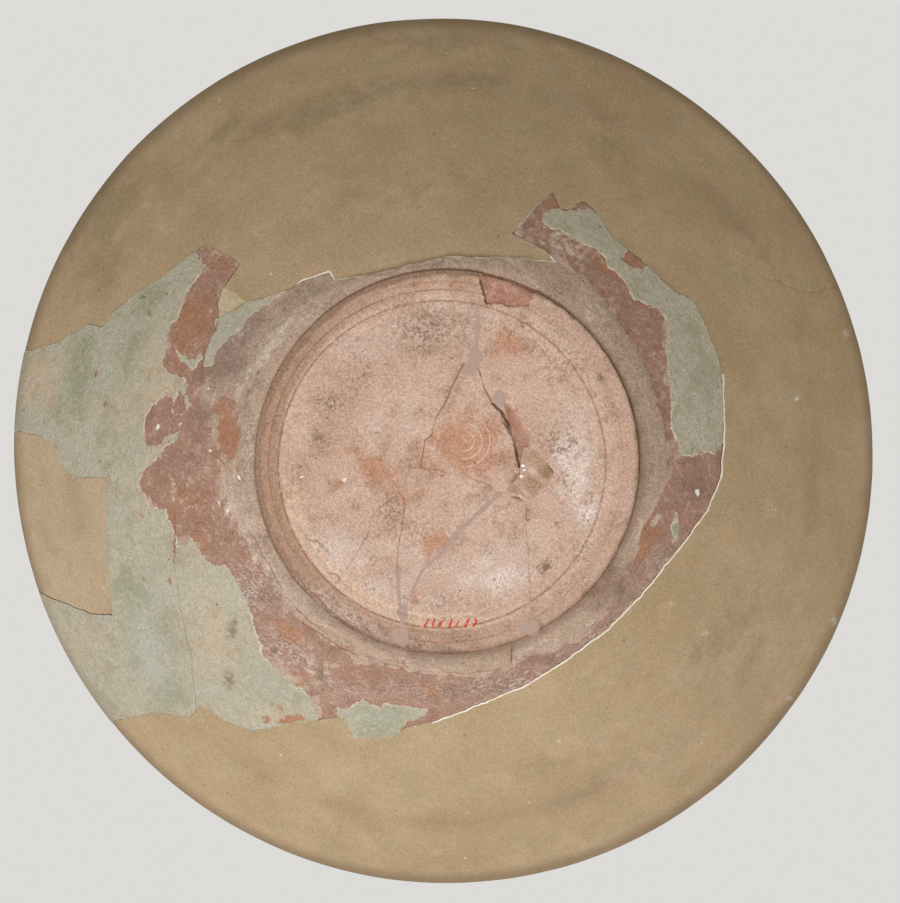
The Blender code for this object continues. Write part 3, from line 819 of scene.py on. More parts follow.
def nearest_line(points, lines, reach):
    """Signed distance across the nearest of several lines, its plain distance, and the line's number."""
    across = np.full(len(points), float(reach))
    nearest = across.copy()
    number = np.zeros(len(points), int)
    for index, line in enumerate(lines):
        for start, end in zip(np.array(line[:-1], float), np.array(line[1:], float)):
            low, high = np.minimum(start, end) - reach, np.maximum(start, end) + reach
            close = np.nonzero(((points > low) & (points < high)).all(1))[0]
            length = np.linalg.norm(end - start)
            way = (end - start) / length
            offset = points[close] - start
            ahead = offset @ way
            side = offset[:, 0] * way[1] - offset[:, 1] * way[0]
            gap = np.hypot(np.clip(ahead, 0.0, length) - ahead, side)
            better = gap < nearest[close]
            chosen = close[better]
            nearest[chosen] = gap[better]
            across[chosen] = side[better]
            number[chosen] = index
    return across, nearest, number


def line_distance(points, lines, reach):
    """Distance from each point to the nearest of several open lines, no more than reach."""
    return nearest_line(points, lines, reach)[1]


def closed(outline):
    """An outline as a line that ends where it starts."""
    return outline + outline[:1]


def inside(points, outline):
    """Whether each point lies inside a closed outline."""
    crossed = np.zeros(len(points), bool)
    corners = np.array(outline, float)
    x, y = points.T
    for (x0, y0), (x1, y1) in zip(corners, np.roll(corners, -1, 0)):
        if y0 != y1:
            spans = (y0 > y) != (y1 > y)
            crossed ^= spans & (x < (x1 - x0) * (y - y0) / (y1 - y0) + x0)
    return crossed


def depth_inside(points, *outlines):
    """Distance inside the nearest of several closed outlines, below zero outside them."""
    depths = []
    for outline in outlines:
        gap = line_distance(points, [closed(outline)], DEPTH_REACH)
        depths.append(np.where(inside(points, outline), gap, -gap))
    return np.max(depths, axis=0)


def mark(points, x, y, half_width, half_height, turn=0.0, strength=1.0):
    """Soft oval mark, at full strength at its middle and about a third of it at its edge."""
    angle = math.radians(turn)
    right, down = points[:, 0] - x, points[:, 1] - y
    u = (right * math.cos(angle) + down * math.sin(angle)) / half_width
    v = (down * math.cos(angle) - right * math.sin(angle)) / half_height
    return strength * np.exp(-(u * u + v * v))


def marks(points, spots):
    """Strength of the strongest of several marks."""
    return np.max([mark(points, *spot) for spot in spots], axis=0)


def view_direction(points, centre):
    """Direction from a centre in the view, anticlockwise from the right."""
    return np.arctan2(centre[1] - points[:, 1], points[:, 0] - centre[0])


def view_radius(points, centre):
    """Distance from a centre."""
    return np.hypot(points[:, 0] - centre[0], points[:, 1] - centre[1])


def foot_depth(rows):
    """Distance inside the foot's shifted edge in picture units, below zero outside it."""
    return (FOOT_RADIUS - view_radius(rows, FOOT_MIDDLE)) / VIEW_UNIT


def turned_line(points, centre, radius, width, clearest, opposite):
    """Strength of one turned line, which fades away from the direction where it is clearest."""
    side = np.cos(view_direction(points, centre) - math.radians(clearest))
    fade = np.clip(opposite + (1 - opposite) * (0.5 + 0.5 * side), 0.0, 1.0)
    return np.exp(-((view_radius(points, centre) - radius) / width) ** 2) * fade


def wanted_spacing(rows):
    """Mesh spacing at each place: fine along cracks, edges and turned lines."""
    view = view_point(rows[:, 0], rows[:, 1])
    outer = rows[:, SIDE] < 0.5
    spacing = np.full(len(rows), 1.0)

    def limit(close, size):
        spacing[close] = np.minimum(spacing[close], size)

    def near(reach, *lines):
        return line_distance(view, lines, reach) < reach

    joint = near(JOINT_REACH, closed(SHERD_EDGE), closed(RIM_PATCH_EDGE))
    limit(joint & outer, EDGE_GRID)
    limit(joint & ~outer, 3 * EDGE_GRID)
    for width, line in OPEN_CRACKS + FILLED_CRACKS:
        limit(near(width / 2 + CRACK_REACH, line) & outer, CRACK_GRID)
    limit(near(LINE_REACH, *RED_DABS) & outer, CRACK_GRID)
    shapes = GLAZE_EDGES + [GLAZE_HOLE] + CLEAR_RING_EDGES + [FOOT_CHIP_EDGE, FOOT_LOSS_EDGE, FOOT_SUNK_EDGE]
    limit(near(SHAPE_REACH, *[closed(shape) for shape in shapes]) & outer, EDGE_GRID)
    for centre, radius, width, clearest, opposite in TURNED_LINES:
        limit((turned_line(view, centre, radius, width + 0.8, clearest, opposite) > 0.25) & outer, EDGE_GRID)
    limit((mark(view, *SPIRAL_CENTRE, SPIRAL_RADIUS, SPIRAL_RADIUS) > 0.4) & outer, SPIRAL_GRID)
    limit((np.abs(foot_depth(rows) + 2.0) < 4.0) & outer, EDGE_GRID)
    limit(near(LINE_REACH, FAINT_CRACK) & outer, EDGE_GRID)
    limit(near(JOIN_REACH, *INSIDE_JOINS) & ~outer, JOIN_GRID)
    return spacing


# What shows at each place

def crack_values(view):
    """For open cracks, the share of their width across and how near; and how far glue fills a join."""
    reach = 5.0
    widths = np.array([width for width, _ in OPEN_CRACKS])
    across, gap, number = nearest_line(view, [line for _, line in OPEN_CRACKS], reach)
    width = widths[number]
    near = (1 - ease(gap, 1.8, 3.6)) * (0.3 + 0.7 * ease(width, 0.9, 2.8))
    filler = [half - line_distance(view, [line], reach + 2 * half)
              for half, line in [(width / 2, line) for width, line in FILLED_CRACKS]]
    filler += [(mark(view, *spot) - 0.35) * spot[2] for spot in FILLER_SPOTS]
    return across / (0.6 * width + 0.35), near, gap / width, np.max(filler, axis=0).clip(-reach)


def zone(view, outlines, wear, soft=3.0):
    """Soft share of each place that belongs to ragged zones of the view."""
    return ease(depth_inside(view, *outlines) + 3.0 * wear, -soft, soft)


def outer_share(rows):
    """How far each place is on the outside, from 1 there to 0 inside."""
    return 1 - ease(rows[:, SIDE], 0.2, 0.8)


def below_rim(rows):
    """Share of its relief that each place keeps, which is less near the rim's top."""
    start, end = (BOWL_HEIGHT - drop for drop in RIM_FADE)
    return 1 - RIM_SMOOTHING * ease(rows[:, 2], start, end)


def rim_shade_share(rows):
    """How close each place is to the rim's outer edge, which sets how strong the painted shade is there."""
    return ease(np.hypot(rows[:, 0], rows[:, 1]), RIM_RADIUS - RIM_PAINTED_SHADE_WIDTH, RIM_RADIUS - 0.0002)


def earthenware_values(rows):
    """What the earthenware's material reads at each vertex, and how far it is raised and worn there."""
    view = ragged_view(rows)
    outer = outer_share(rows)
    place = rows[:, :3]
    coarse, middle, fine = (ripple(place, size, seed) for size, seed in CLAY_RIPPLES)
    rough = 0.5 * coarse + 0.35 * middle + 0.25 * fine

    # The foot: its edge, turned lines, spiral, strip and darker band
    foot = foot_depth(rows)
    under = ease(foot, -0.5, 0.5)
    beside = 1 - ease(foot, 0.05, 0.35)
    foot = foot + 0.35 * middle * (np.abs(foot) < 30)
    direction = view_direction(view, VIEW_FOOT_CENTRE)
    bevel_width = 1.0 + 8.0 * ease(np.cos(direction - WORN_DIRECTION), -0.25, 0.45)
    bevel = (1 - ease(foot + 0.8 * middle, 0.45 * bevel_width, bevel_width)) * under
    worn = FOOT_EDGE_WEAR * bevel * ease(-foot, -bevel_width.max(), 0.0) * ease(bevel_width, 1.5, 5.0)
    lines = np.max([turned_line(view, *line) for line in TURNED_LINES], axis=0)
    lines *= under * (0.75 + 0.35 * coarse).clip(0, 1)
    from_spiral = view_radius(view, SPIRAL_CENTRE)
    spiral = 1 - ease(from_spiral, 0.7 * SPIRAL_RADIUS, SPIRAL_RADIUS)
    spiral *= ease(np.cos(view_direction(view, SPIRAL_CENTRE) + 0.2), -0.3, 0.6)
    arcs = spiral * np.sin(2 * math.pi * from_spiral / SPIRAL_PITCH)
    inward = VIEW_FOOT_RADIUS - foot
    inner, outermost = STRIP_RADII
    start, end = STRIP_DIRECTIONS
    turn = np.mod(direction, 2 * math.pi)
    strip = ease(inward, inner - 1.0, inner + 1.0) * (1 - ease(inward, outermost - 2, outermost + 1))
    strip *= ease(turn, start - 0.12, start + 0.12) * (1 - ease(turn, end - 0.2, end + 0.2)) * under
    lower_left = ease(np.cos(direction - DARK_DIRECTION), -0.5, 0.7)
    band = ease(inward, outermost - 1, outermost + 4) * under * (0.3 + 0.7 * lower_left)

    # Glaze, cracks and joins, damage, and the kinds of bare clay
    glaze = np.minimum(depth_inside(view, *GLAZE_EDGES), -depth_inside(view, GLAZE_HOLE)) + 0.8 * fine
    across, near, gap, filler = crack_values(view)
    filler += 0.5 * fine
    join, join_gap, _ = nearest_line(view, INSIDE_JOINS, 8.0)
    chip = ease(depth_inside(view, FOOT_CHIP_EDGE) + 1.3 * fine + 0.8 * middle, -0.5, 2.0) * under
    loss = ease(depth_inside(view, FOOT_LOSS_EDGE) + 0.8 * fine, -0.5, 5.0)
    sunk = ease(depth_inside(view, FOOT_SUNK_EDGE) + 0.8 * middle, -0.5, 2.5) * under
    ring = zone(view, RING_EDGES, 0.4 * middle, 1.2) * beside
    shares = {
        "glaze": ease(glaze, -1.0, 0.8) * (1 - under),
        "rough": rough * (1 - 0.6 * under) * (1 - ease(glaze, -1.0, 0.6)) * outer,
        "waves": coarse,
        "crack": (1 - ease(gap, 0.1, 0.9)) * near,
        "filler": ease(filler, -0.5, 1.0) * (1 + middle),
        "lines": lines, "arcs": arcs * under, "strip": strip * (1 - sunk),
        "chip": chip, "rough chip": chip * rough, "loss": loss, "rough loss": loss * middle,
        "sunk": sunk, "rough sunk": sunk * rough, "ring": ring,
        "fillet": (1 - ease(-foot, 3.0, 34.0)) * beside,
    }
    raised = sum(RELIEF[name] * share for name, share in shares.items())
    values = {
        "glaze": np.where(rows[:, SIDE] < 0.5, glaze - 40 * under,
                          depth_inside(view, SHERD_EDGE) - 1.0 + middle),
        "across": across, "near": near, "filler": filler, "outer": outer, "foot": foot, "strip": strip,
        "join": join, "joined": 1 - ease(join_gap, 2.5, 4.5),
        "bevel": bevel, "band": band, "spiral": (spiral * under).clip(0, 1), "chip": chip * outer,
        "loss": loss * outer, "sunk": sunk, "ring": ring, "rim": rim_shade_share(rows),
        "brick": zone(view, BRICK_EDGES, middle + coarse) * (1 - under),
        "red": 1 - ease(line_distance(view, RED_DABS, 3.0), 0.6, 1.3),
    }
    values.update({label: marks(view, spots) for label, spots in MARKS.items()})
    return values, raised * outer * below_rim(rows), worn * outer


def plaster_values(rows, edge, side):
    """What the plaster's material reads at each vertex, and how far the surface is raised there."""
    view = ragged_view(rows)
    outer = outer_share(rows)
    lip = 0.15 + np.maximum(0.85 * (1 - ease(line_distance(view, [WHITE_LIP], 8.0), 3.0, 8.0)),
                            0.65 * (1 - ease(line_distance(view, [TOP_LIP], 8.0), 3.0, 8.0)))
    band = np.exp(-((view_radius(view, VIEW_RIM_CENTRE) - BAND_RADIUS) / BAND_WIDTH) ** 2) * outer
    place = rows[:, :3]
    slow, middle = (ripple(place, size, seed) for size, seed in PLASTER_RIPPLES)
    faint = (1 - ease(line_distance(view, [FAINT_CRACK], 3.0), 0.2, 1.4)) * outer
    values = {
        "edge": -side * depth_inside(view, edge), "lip": lip * outer, "band": band, "outer": outer,
        "smudge": marks(view, SMUDGES) * outer, "fleck": marks(view, PLASTER_FLECKS) * outer,
        "speckled": zone(view, [SPECKLED_EDGE], middle, 2.0) * outer, "crack": faint,
        "rim": rim_shade_share(rows),
    }
    shares = {"slow": slow, "middle": middle, "band": band, "crack": faint}
    raised = sum(PLASTER_RELIEF[name] * share for name, share in shares.items())
    return values, raised * below_rim(rows)


# Materials. Sizes are in metres, and a label in place of a number reads the vertex values of that name

class Finish:
    """A material whose nodes are added and linked by short calls."""

    def __init__(self, name):
        self.material = bpy.data.materials.new(name)
        self.material.use_nodes = True
        self.tree = self.material.node_tree
        self.shader = self.tree.nodes["Principled BSDF"]
        self.place = self.add("ShaderNodeTexCoord").outputs["Object"]

    def add(self, kind, inputs=None, **settings):
        """A new node, whose inputs are sockets, labels of vertex values or plain values."""
        node = self.tree.nodes.new(kind)
        for name, value in settings.items():
            setattr(node, name, value)
        for name, value in (inputs or {}).items():
            if isinstance(value, str):
                value = self.add("ShaderNodeAttribute", attribute_name=value).outputs["Fac"]
            if isinstance(value, bpy.types.NodeSocket):
                self.tree.links.new(value, node.inputs[name])
            else:
                node.inputs[name].default_value = value
        return node

    def math(self, operation, a, b=0.0):
        return self.add("ShaderNodeMath", {0: a, 1: b}, operation=operation).outputs[0]

    def vector(self, operation, a, b=(0.0, 0.0, 0.0)):
        node = self.add("ShaderNodeVectorMath", {0: a, 1: b}, operation=operation)
        return node.outputs["Value" if operation in ("LENGTH", "DOT_PRODUCT") else "Vector"]

    def times(self, a, b):
        return self.math("MULTIPLY", a, b)

    def from_half(self, noise, reach):
        """Noise from 0 to 1 turned into a swing of half a reach either way."""
        return self.times(self.math("SUBTRACT", noise, 0.5), reach)

    def noise(self, size, detail=3.0, roughness=0.55, place=None):
        """Noise from 0 to 1 whose features are about one size long, in metres."""
        inputs = {"Vector": place or self.place, "Scale": 1 / size, "Detail": detail, "Roughness": roughness}
        return self.ramp(self.add("ShaderNodeTexNoise", inputs).outputs[0], 0.28, 0.72)

    def turned_noise(self, width, turn):
        """Noise drawn out round the axis: features one width across and a share of a turn long."""
        flat = self.vector("MULTIPLY", self.place, (1.0, 1.0, 0.0))
        round_way = self.vector("MULTIPLY", self.vector("NORMALIZE", flat), (1 / turn, 1 / turn, 0.0))
        out_way = self.add("ShaderNodeCombineXYZ", {2: self.times(self.vector("LENGTH", flat), 1 / width)})
        return self.noise(1.0, 3.0, 0.6, self.vector("ADD", round_way, out_way.outputs[0]))

    def streaks(self, width, length, turn):
        """Sparse short streaks that run one way."""
        inputs = {"Vector": self.place, "Rotation": (0.0, 0.0, math.radians(turn)),
                  "Scale": (1 / width, 1 / length, 1 / width)}
        turned = self.add("ShaderNodeMapping", inputs).outputs[0]
        return self.ramp(self.noise(1.0, 2.0, 0.6, turned), 0.66, 0.92)

    def ramp(self, value, low, high, bottom=0.0, top=1.0):
        """Value eased from bottom at low to top at high."""
        inputs = {"Value": value, "From Min": low, "From Max": high, "To Min": bottom, "To Max": top}
        return self.add("ShaderNodeMapRange", inputs, interpolation_type="SMOOTHSTEP").outputs[0]

    def blend(self, share, below, above, mode="MIX"):
        """One colour over another, each a socket or display values, by a share."""
        below, above = (rgb(*tone) if isinstance(tone, tuple) else tone for tone in (below, above))
        inputs = {0: share, 6: below, 7: above}
        return self.add("ShaderNodeMix", inputs, data_type="RGBA", blend_type=mode).outputs[2]

    def lay(self, colour, *layers):
        """Lay tones over a colour in turn, each by its share and by how strong it gets."""
        for share, strength, tone in layers:
            colour = self.blend(share if strength == 1 else self.times(share, strength), colour, tone)
        return colour

    def shade(self, noise, depth, colour):
        """Darken and lighten a colour by noise, by up to a share either way."""
        swing = self.times(self.from_half(noise, 2.0), depth)
        return self.blend(1.0, colour, self.math("ADD", swing, 1.0), "MULTIPLY")

    def broken(self, value, noise, low, high, spread):
        """A soft value whose border is broken up by noise."""
        return self.ramp(self.math("ADD", value, self.from_half(noise, spread)), low, high)

    def specks(self, size, share, width):
        """Scattered round specks in cells of one size; share is how many cells have one."""
        node = self.add("ShaderNodeTexVoronoi", {"Vector": self.place, "Scale": 1 / size})
        pick = self.add("ShaderNodeSeparateColor", {0: node.outputs["Color"]})
        radius = self.times(self.math("ADD", pick.outputs[1], 0.35), width)
        near = self.ramp(self.math("DIVIDE", node.outputs["Distance"], radius), 1.0, 0.6)
        return self.times(near, self.math("LESS_THAN", pick.outputs[0], share))

    def bump(self, height, distance, strength=1.0):
        """Fine relief in the shading, over what was added before."""
        inputs = {"Height": height, "Distance": distance, "Strength": strength}
        if self.shader.inputs["Normal"].links:
            inputs["Normal"] = self.shader.inputs["Normal"].links[0].from_socket
        self.tree.links.new(self.add("ShaderNodeBump", inputs).outputs[0], self.shader.inputs["Normal"])

    def finish(self, colour, roughness):
        self.tree.links.new(colour, self.shader.inputs["Base Color"])
        self.tree.links.new(roughness, self.shader.inputs["Roughness"])
        return self.material


def from_circle(f, centre, radius):
    """Distance outside a circle in plan, in metres, and the way out from its centre."""
    away = f.vector("SUBTRACT", f.vector("MULTIPLY", f.place, (1.0, 1.0, 0.0)), centre)
    return f.math("SUBTRACT", f.vector("LENGTH", away), radius), f.vector("NORMALIZE", away)


def toward(f, way, centre, direction):
    """How far a way from a centre of the view agrees with a direction there, from minus one to one."""
    angle = math.radians(direction)
    end = foot_place(centre[0] + math.cos(angle), centre[1] - math.sin(angle))
    return f.vector("DOT_PRODUCT", way, (Vector(end) - Vector(foot_place(*centre))).normalized())


def drawn_lines(f, broken):
    """The turned lines as thin drawn circles on the foot, broken up by noise."""
    total = 0.0
    for centre, radius, width, clearest, opposite in TURNED_LINES:
        off, way = from_circle(f, foot_place(*centre), radius * VIEW_UNIT)
        fade = f.ramp(toward(f, way, centre, clearest), -1.0, 1.0, opposite, 1.0)
        line = f.ramp(f.math("ABSOLUTE", off), 0.95 * width * VIEW_UNIT, 0.25 * width * VIEW_UNIT)
        total = f.math("MAXIMUM", total, f.times(line, fade))
    return f.times(total, f.ramp(broken, 0.0, 0.5, 0.2, 1.0))


def foot_edge_painted_shade(f, broken):
    """Painted shade: a dark line round the foot's edge, strongest at the bottom of the view, and a painted
    shadow that spreads out from it.
    """
    off, way = from_circle(f, (*FOOT_MIDDLE, 0.0), FOOT_RADIUS + 0.4 * VIEW_UNIT)
    off = f.math("DIVIDE", off, VIEW_UNIT)
    line = f.times(f.ramp(f.math("ABSOLUTE", off), 2.0, 0.5), f.ramp(broken, 0.0, 0.5, 0.25, 0.6))
    line = f.times(line, f.ramp(toward(f, way, VIEW_FOOT_CENTRE, 270), -0.6, 0.4))
    painted_shadow = f.times(f.ramp(off, 13.0, 0.0, 0.0, 0.54), f.ramp(off, -6.0, 0.0))
    painted_shadow = f.times(painted_shadow, f.ramp(toward(f, way, VIEW_FOOT_CENTRE, 300), -0.3, 0.6))
    return f.math("MAXIMUM", line, painted_shadow)


def spiral_arcs(f):
    """Thin pale arcs that the wheel left off centre."""
    off, _ = from_circle(f, foot_place(*SPIRAL_CENTRE), 0.0)
    wave = f.math("SINE", f.times(off, 2 * math.pi / (SPIRAL_PITCH * VIEW_UNIT)))
    return f.times(f.ramp(wave, 0.70, 0.98), "spiral")


def clay_colour(f, wide, medium, small, streaks):
    """Bare clay: pinkish cream under the foot, browner and partly brick red on the wall."""
    orange = f.broken("orange", medium, 0.15, 0.85, 0.5)
    stain = f.times("grey", f.ramp(small, 0.1, 0.7, 0.3, 1.0))
    under = f.lay(
        f.blend(wide, (209, 179, 160), (199, 162, 139)),
        (f.ramp(medium, 0.4, 0.9), 0.5, (182, 148, 124)),
        (f.broken("pale", medium, 0.2, 1.0, 0.6), 1, (226, 206, 192)),
        (orange, 0.8, (190, 138, 106)),
        (spiral_arcs(f), 0.6, (226, 200, 178)),
        ("strip", 0.6, (218, 186, 158)),
        ("band", 0.85, (170, 134, 108)),
        (f.broken("bevel", small, 0.1, 1.0, 0.3), 0.75, (146, 114, 92)),
        (stain, 0.6, (142, 118, 98)))
    brick = f.lay(
        f.blend(medium, (168, 130, 110), (154, 117, 99)),
        (f.ramp(small, 0.5, 1.0), 0.5, (182, 148, 128)),
        (orange, 0.8, (171, 121, 88)))
    wall = f.lay(
        f.blend(wide, (190, 162, 140), (176, 148, 127)),
        (f.ramp(streaks, 0.45, 0.95), 0.6, (202, 182, 162)),
        (f.ramp(medium, 0.5, 0.9), 0.5, (158, 130, 112)),
        (f.broken("brick", medium, 0.3, 0.7, 0.9), 1, brick),
        (f.broken("ring", small, 0.3, 0.7, 0.5), 0.85, f.blend(streaks, (189, 163, 140), (171, 145, 122))),
        (f.broken("umber", medium, 0.1, 0.9, 0.5), 0.8, (146, 117, 100)),
        (stain, 0.6, (142, 130, 116)),
        (f.broken("pale", small, 0.2, 1.0, 0.8), 0.8, (214, 197, 177)))
    chip = f.lay(
        f.blend(f.ramp(small, 0.4, 0.8), (180, 132, 110), (164, 116, 98)),
        (f.ramp(medium, 0.45, 0.8), 0.7, (192, 154, 130)))
    return f.lay(
        f.blend(f.ramp("foot", -0.6, 0.6), wall, under),
        (f.ramp("chip", 0.2, 0.6), 1, chip),
        ("sunk", 0.8, f.blend(f.ramp(small, 0.2, 0.9), (186, 156, 136), (150, 122, 104))))


def glaze_colour(f, wide, medium, small):
    """Weathered pale glaze, greener where it pooled and cream where it thins."""
    return f.lay(
        f.blend(wide, (186, 178, 155), (176, 170, 148)),
        (f.broken("green", medium, 0.1, 0.9, 0.5), 0.85, (153, 155, 127)),
        (f.broken("cream", medium, 0.1, 0.9, 0.5), 0.8, (197, 176, 148)),
        (f.broken("aqua", medium, 0.1, 0.9, 0.5), 0.8, (184, 186, 170)),
        (f.ramp(small, 0.5, 1.0), 0.45, (206, 196, 176)),
        (f.ramp(medium, 0.55, 1.0), 0.4, (164, 148, 118)),
        (f.streaks(0.0006, 0.0050, 35), 0.35, (150, 132, 102)),
        (f.times(f.specks(0.0019, 0.4, 0.17), f.ramp(medium, 0.2, 0.7, 0.2, 1.0)), 0.65, (118, 96, 58)),
        (f.broken("rust", small, 0.3, 0.7, 0.6), 1, (172, 124, 92)))


def inside_colour(f, glaze_mask, wide, medium, small, grain):
    """Glaze inside the bowl, with fine crazing, brown stain and the joins between sherds."""
    inputs = {"Vector": f.place, "Scale": 1 / CRAZE_SIZE}
    craze = f.add("ShaderNodeTexVoronoi", inputs, feature="DISTANCE_TO_EDGE").outputs["Distance"]
    line = f.times(f.ramp(craze, 0.035, 0.0), f.ramp(wide, 0.3, 0.8))
    glaze = f.lay(
        f.blend(wide, (190, 184, 158), (172, 172, 146)),
        (f.ramp(medium, 0.5, 1.0), 0.5, (178, 160, 130)),
        (f.ramp(small, 0.5, 1.0), 0.35, (204, 196, 174)),
        (line, 0.4, (126, 110, 88)),
        (f.specks(0.0050, 0.3, 0.10), 0.6, (112, 88, 62)))
    colour = f.blend(glaze_mask, f.blend(medium, (192, 156, 130), (172, 134, 108)), glaze)
    off = f.math("ADD", "join", f.from_half(small, 0.9))
    join = f.times(f.ramp(f.math("ABSOLUTE", off), 1.3, 0.5), "joined")
    join = f.times(join, f.ramp(medium, 0.2, 0.7, 0.35, 0.85))
    return f.blend(join, f.shade(grain, 0.16, colour), (122, 92, 66))


def outside_colour(f, glaze_mask, from_glaze, wide, medium, small, grain, pits):
    """Clay and glaze of the underside, with all that is drawn, worn or mended there."""
    clay = clay_colour(f, wide, medium, small, f.turned_noise(0.0011, 0.16))
    bare = f.math("SUBTRACT", 1.0, glaze_mask)
    fringe = f.ramp(f.math("ABSOLUTE", f.math("ADD", from_glaze, 0.1)), 1.0, 0.2)
    colour = f.lay(
        f.blend(glaze_mask, clay, glaze_colour(f, wide, medium, small)),
        (f.times(fringe, f.ramp(medium, 0.48, 0.68)), 0.75, (222, 208, 184)))
    flecked = f.math("MAXIMUM", "flecked", f.ramp(small, 0.6, 1.0, 0.0, 0.3))
    flecks = f.math("MAXIMUM", f.ramp(f.noise(0.0007, 2.0, 0.7), 0.66, 0.84),
                    f.ramp(f.turned_noise(0.0006, 0.04), 0.66, 0.9))
    crack = f.times(f.ramp(f.math("ABSOLUTE", "across"), 1.0, 0.35), "near")
    crack = f.times(f.ramp(crack, 0.0, 0.5, 0.0, 0.9), f.ramp(medium, 0.2, 0.6, 0.4, 1.0))
    return f.lay(
        f.shade(grain, f.ramp(glaze_mask, 0.0, 1.0, 0.27, 0.16), colour),
        (f.times(pits, bare), 0.8, (134, 98, 70)),
        (f.times(f.times(flecks, flecked), bare), 0.65, (222, 206, 192)),
        (f.times(f.specks(0.0030, 0.45, 0.13), f.ramp(medium, 0.1, 0.8)), 0.75, (100, 80, 58)),
        (f.broken("dark", small, 0.2, 0.9, 0.7), 0.7, (112, 94, 68)),
        (f.times(drawn_lines(f, small), f.ramp("foot", 8.0, 12.0)), 0.8, (150, 100, 68)),
        # Painted shade along the foot's edge, with a painted shadow spreading out beside it
        (foot_edge_painted_shade(f, small), 1, (112, 82, 58)),
        ("loss", 0.75, (164, 112, 86)),
        (f.ramp("filler", -0.7, 0.5), 1, (181, 153, 137)),
        (crack, 1, f.blend(f.ramp("near", 0.3, 0.9), (148, 100, 68), (92, 60, 42))),
        # White spots, and painted glints on glossy consolidant
        (f.broken("white", small, 0.35, 0.55, 0.4), 1, (240, 234, 224)),
        ("red", 1, (205, 52, 38)))


def earthenware_finish():
    """Clay and glaze outside and in, with painted shade at the rim, and shinier where glazed or glued."""
    f = Finish("glazed_earthenware")
    wide, medium = f.noise(0.022), f.noise(0.006, 4.0)
    small, grain = f.noise(0.0020, 4.0, 0.6), f.noise(0.0006, 3.0, 0.7)
    from_glaze = f.math("ADD", "glaze", f.from_half(grain, 0.8))
    glaze_mask = f.ramp(from_glaze, -0.35, 0.35)
    pitted = f.math("MAXIMUM", "pits", f.ramp(medium, 0.55, 0.95, 0.0, 0.6))
    pits = f.math("ADD", f.ramp(f.noise(0.0010, 2.0, 0.7), 0.61, 0.75), f.specks(0.0014, 0.5, 0.22))
    pits = f.times(pits, pitted)
    colour = f.blend("outer", inside_colour(f, glaze_mask, wide, medium, small, grain),
                     outside_colour(f, glaze_mask, from_glaze, wide, medium, small, grain, pits))
    gloss = f.ramp(f.times(glaze_mask, medium), 0.1, 0.8, 0.82, 0.5)
    f.bump(grain, 0.00016, 0.6)
    f.bump(small, 0.0004, 0.4)
    f.bump(f.times(f.times(pits, "outer"), -1.0), 0.0002, 0.5)
    gloss = f.math("SUBTRACT", gloss, f.times("loss", 0.4))
    # Painted shade where the rounded rim turns away
    return f.finish(f.lay(colour, ("rim", 0.45, (124, 104, 82))), gloss)


def plaster_finish(name, light, dark):
    """Tan paint on plaster, mottled, smudged and specked, with painted shade at the rim."""
    f = Finish(name)
    wide, medium = f.noise(0.028), f.noise(0.005, 4.0)
    small, grain = f.noise(0.0016, 3.0, 0.6), f.noise(0.0006, 3.0, 0.7)
    streaks, mottle = f.turned_noise(0.0060, 0.3), f.noise(0.010, 5.0, 0.65)
    paint = f.lay(
        f.blend(wide, light, dark),
        (f.ramp(mottle, 0.5, 1.0), 0.4, (154, 138, 100)),
        (f.ramp(mottle, 0.5, 0.0), 0.4, (196, 163, 128)),
        (f.ramp(streaks, 0.3, 1.0), 0.35, dark),
        (f.ramp(medium, 0.4, 1.0), 0.3, (186, 154, 114)),
        (f.ramp(small, 0.4, 1.0), 0.3, (158, 146, 116)),
        (f.broken("smudge", medium, 0.1, 0.9, 0.35), 0.5, (138, 120, 88)),
        (f.times("band", f.ramp(wide, 0.0, 1.0, 0.05, 0.3)), 1, (130, 106, 78)))
    speckled = f.blend(f.ramp(grain, 0.5, 0.9), (204, 188, 158), (178, 148, 108))
    lip = f.times(f.ramp("edge", 2.2, 1.2), "lip")
    colour = f.lay(
        f.shade(grain, 0.19, paint),
        (f.broken("speckled", small, 0.1, 1.0, 0.9), 0.8, speckled),
        (f.times(f.specks(0.004, 0.35, 0.13), f.ramp(medium, 0.2, 0.8)), 0.5, (118, 90, 62)),
        (f.specks(0.007, 0.2, 0.07), 0.6, (230, 216, 192)),
        (f.broken(lip, small, 0.3, 0.5, 0.5), 1, (240, 229, 208)),
        ("fleck", 1, (244, 240, 230)),
        (f.times("crack", f.ramp(small, 0.1, 0.8, 0.1, 0.5)), 1, (136, 96, 62)),
        # Painted shade where the rounded rim turns away
        ("rim", 0.62, (112, 90, 66)))
    f.bump(grain, 0.00008, 0.4)
    f.bump(medium, 0.0003, 0.12)
    return f.finish(colour, f.ramp(medium, 0.0, 1.0, 0.72, 0.86))


def glue_finish():
    """Brown, glassy old glue with dirt and painted glints in it, thin and clear at its edge."""
    f = Finish("old_glue")
    medium, small = f.noise(0.003), f.noise(0.0009, 3.0)
    colour = f.lay(
        f.blend(medium, (190, 155, 128), (168, 132, 103)),
        (f.ramp(small, 0.5, 0.9), 0.5, (206, 182, 158)),
        (f.broken("olive", small, 0.1, 0.7, 0.6), 0.8, (136, 104, 66)),
        (f.ramp("depth", 0.5, 3.0, 0.75, 0.0), 1, (196, 164, 142)),
        # Painted glints
        (f.ramp("glint", 0.3, 0.5), 1, (250, 248, 244)))
    f.shader.inputs["Coat Weight"].default_value = 0.4
    f.shader.inputs["Coat Roughness"].default_value = 0.12
    f.bump(small, 0.0003, 0.6)
    return f.finish(colour, f.ramp(small, 0.2, 0.8, 0.25, 0.5))


# Pieces

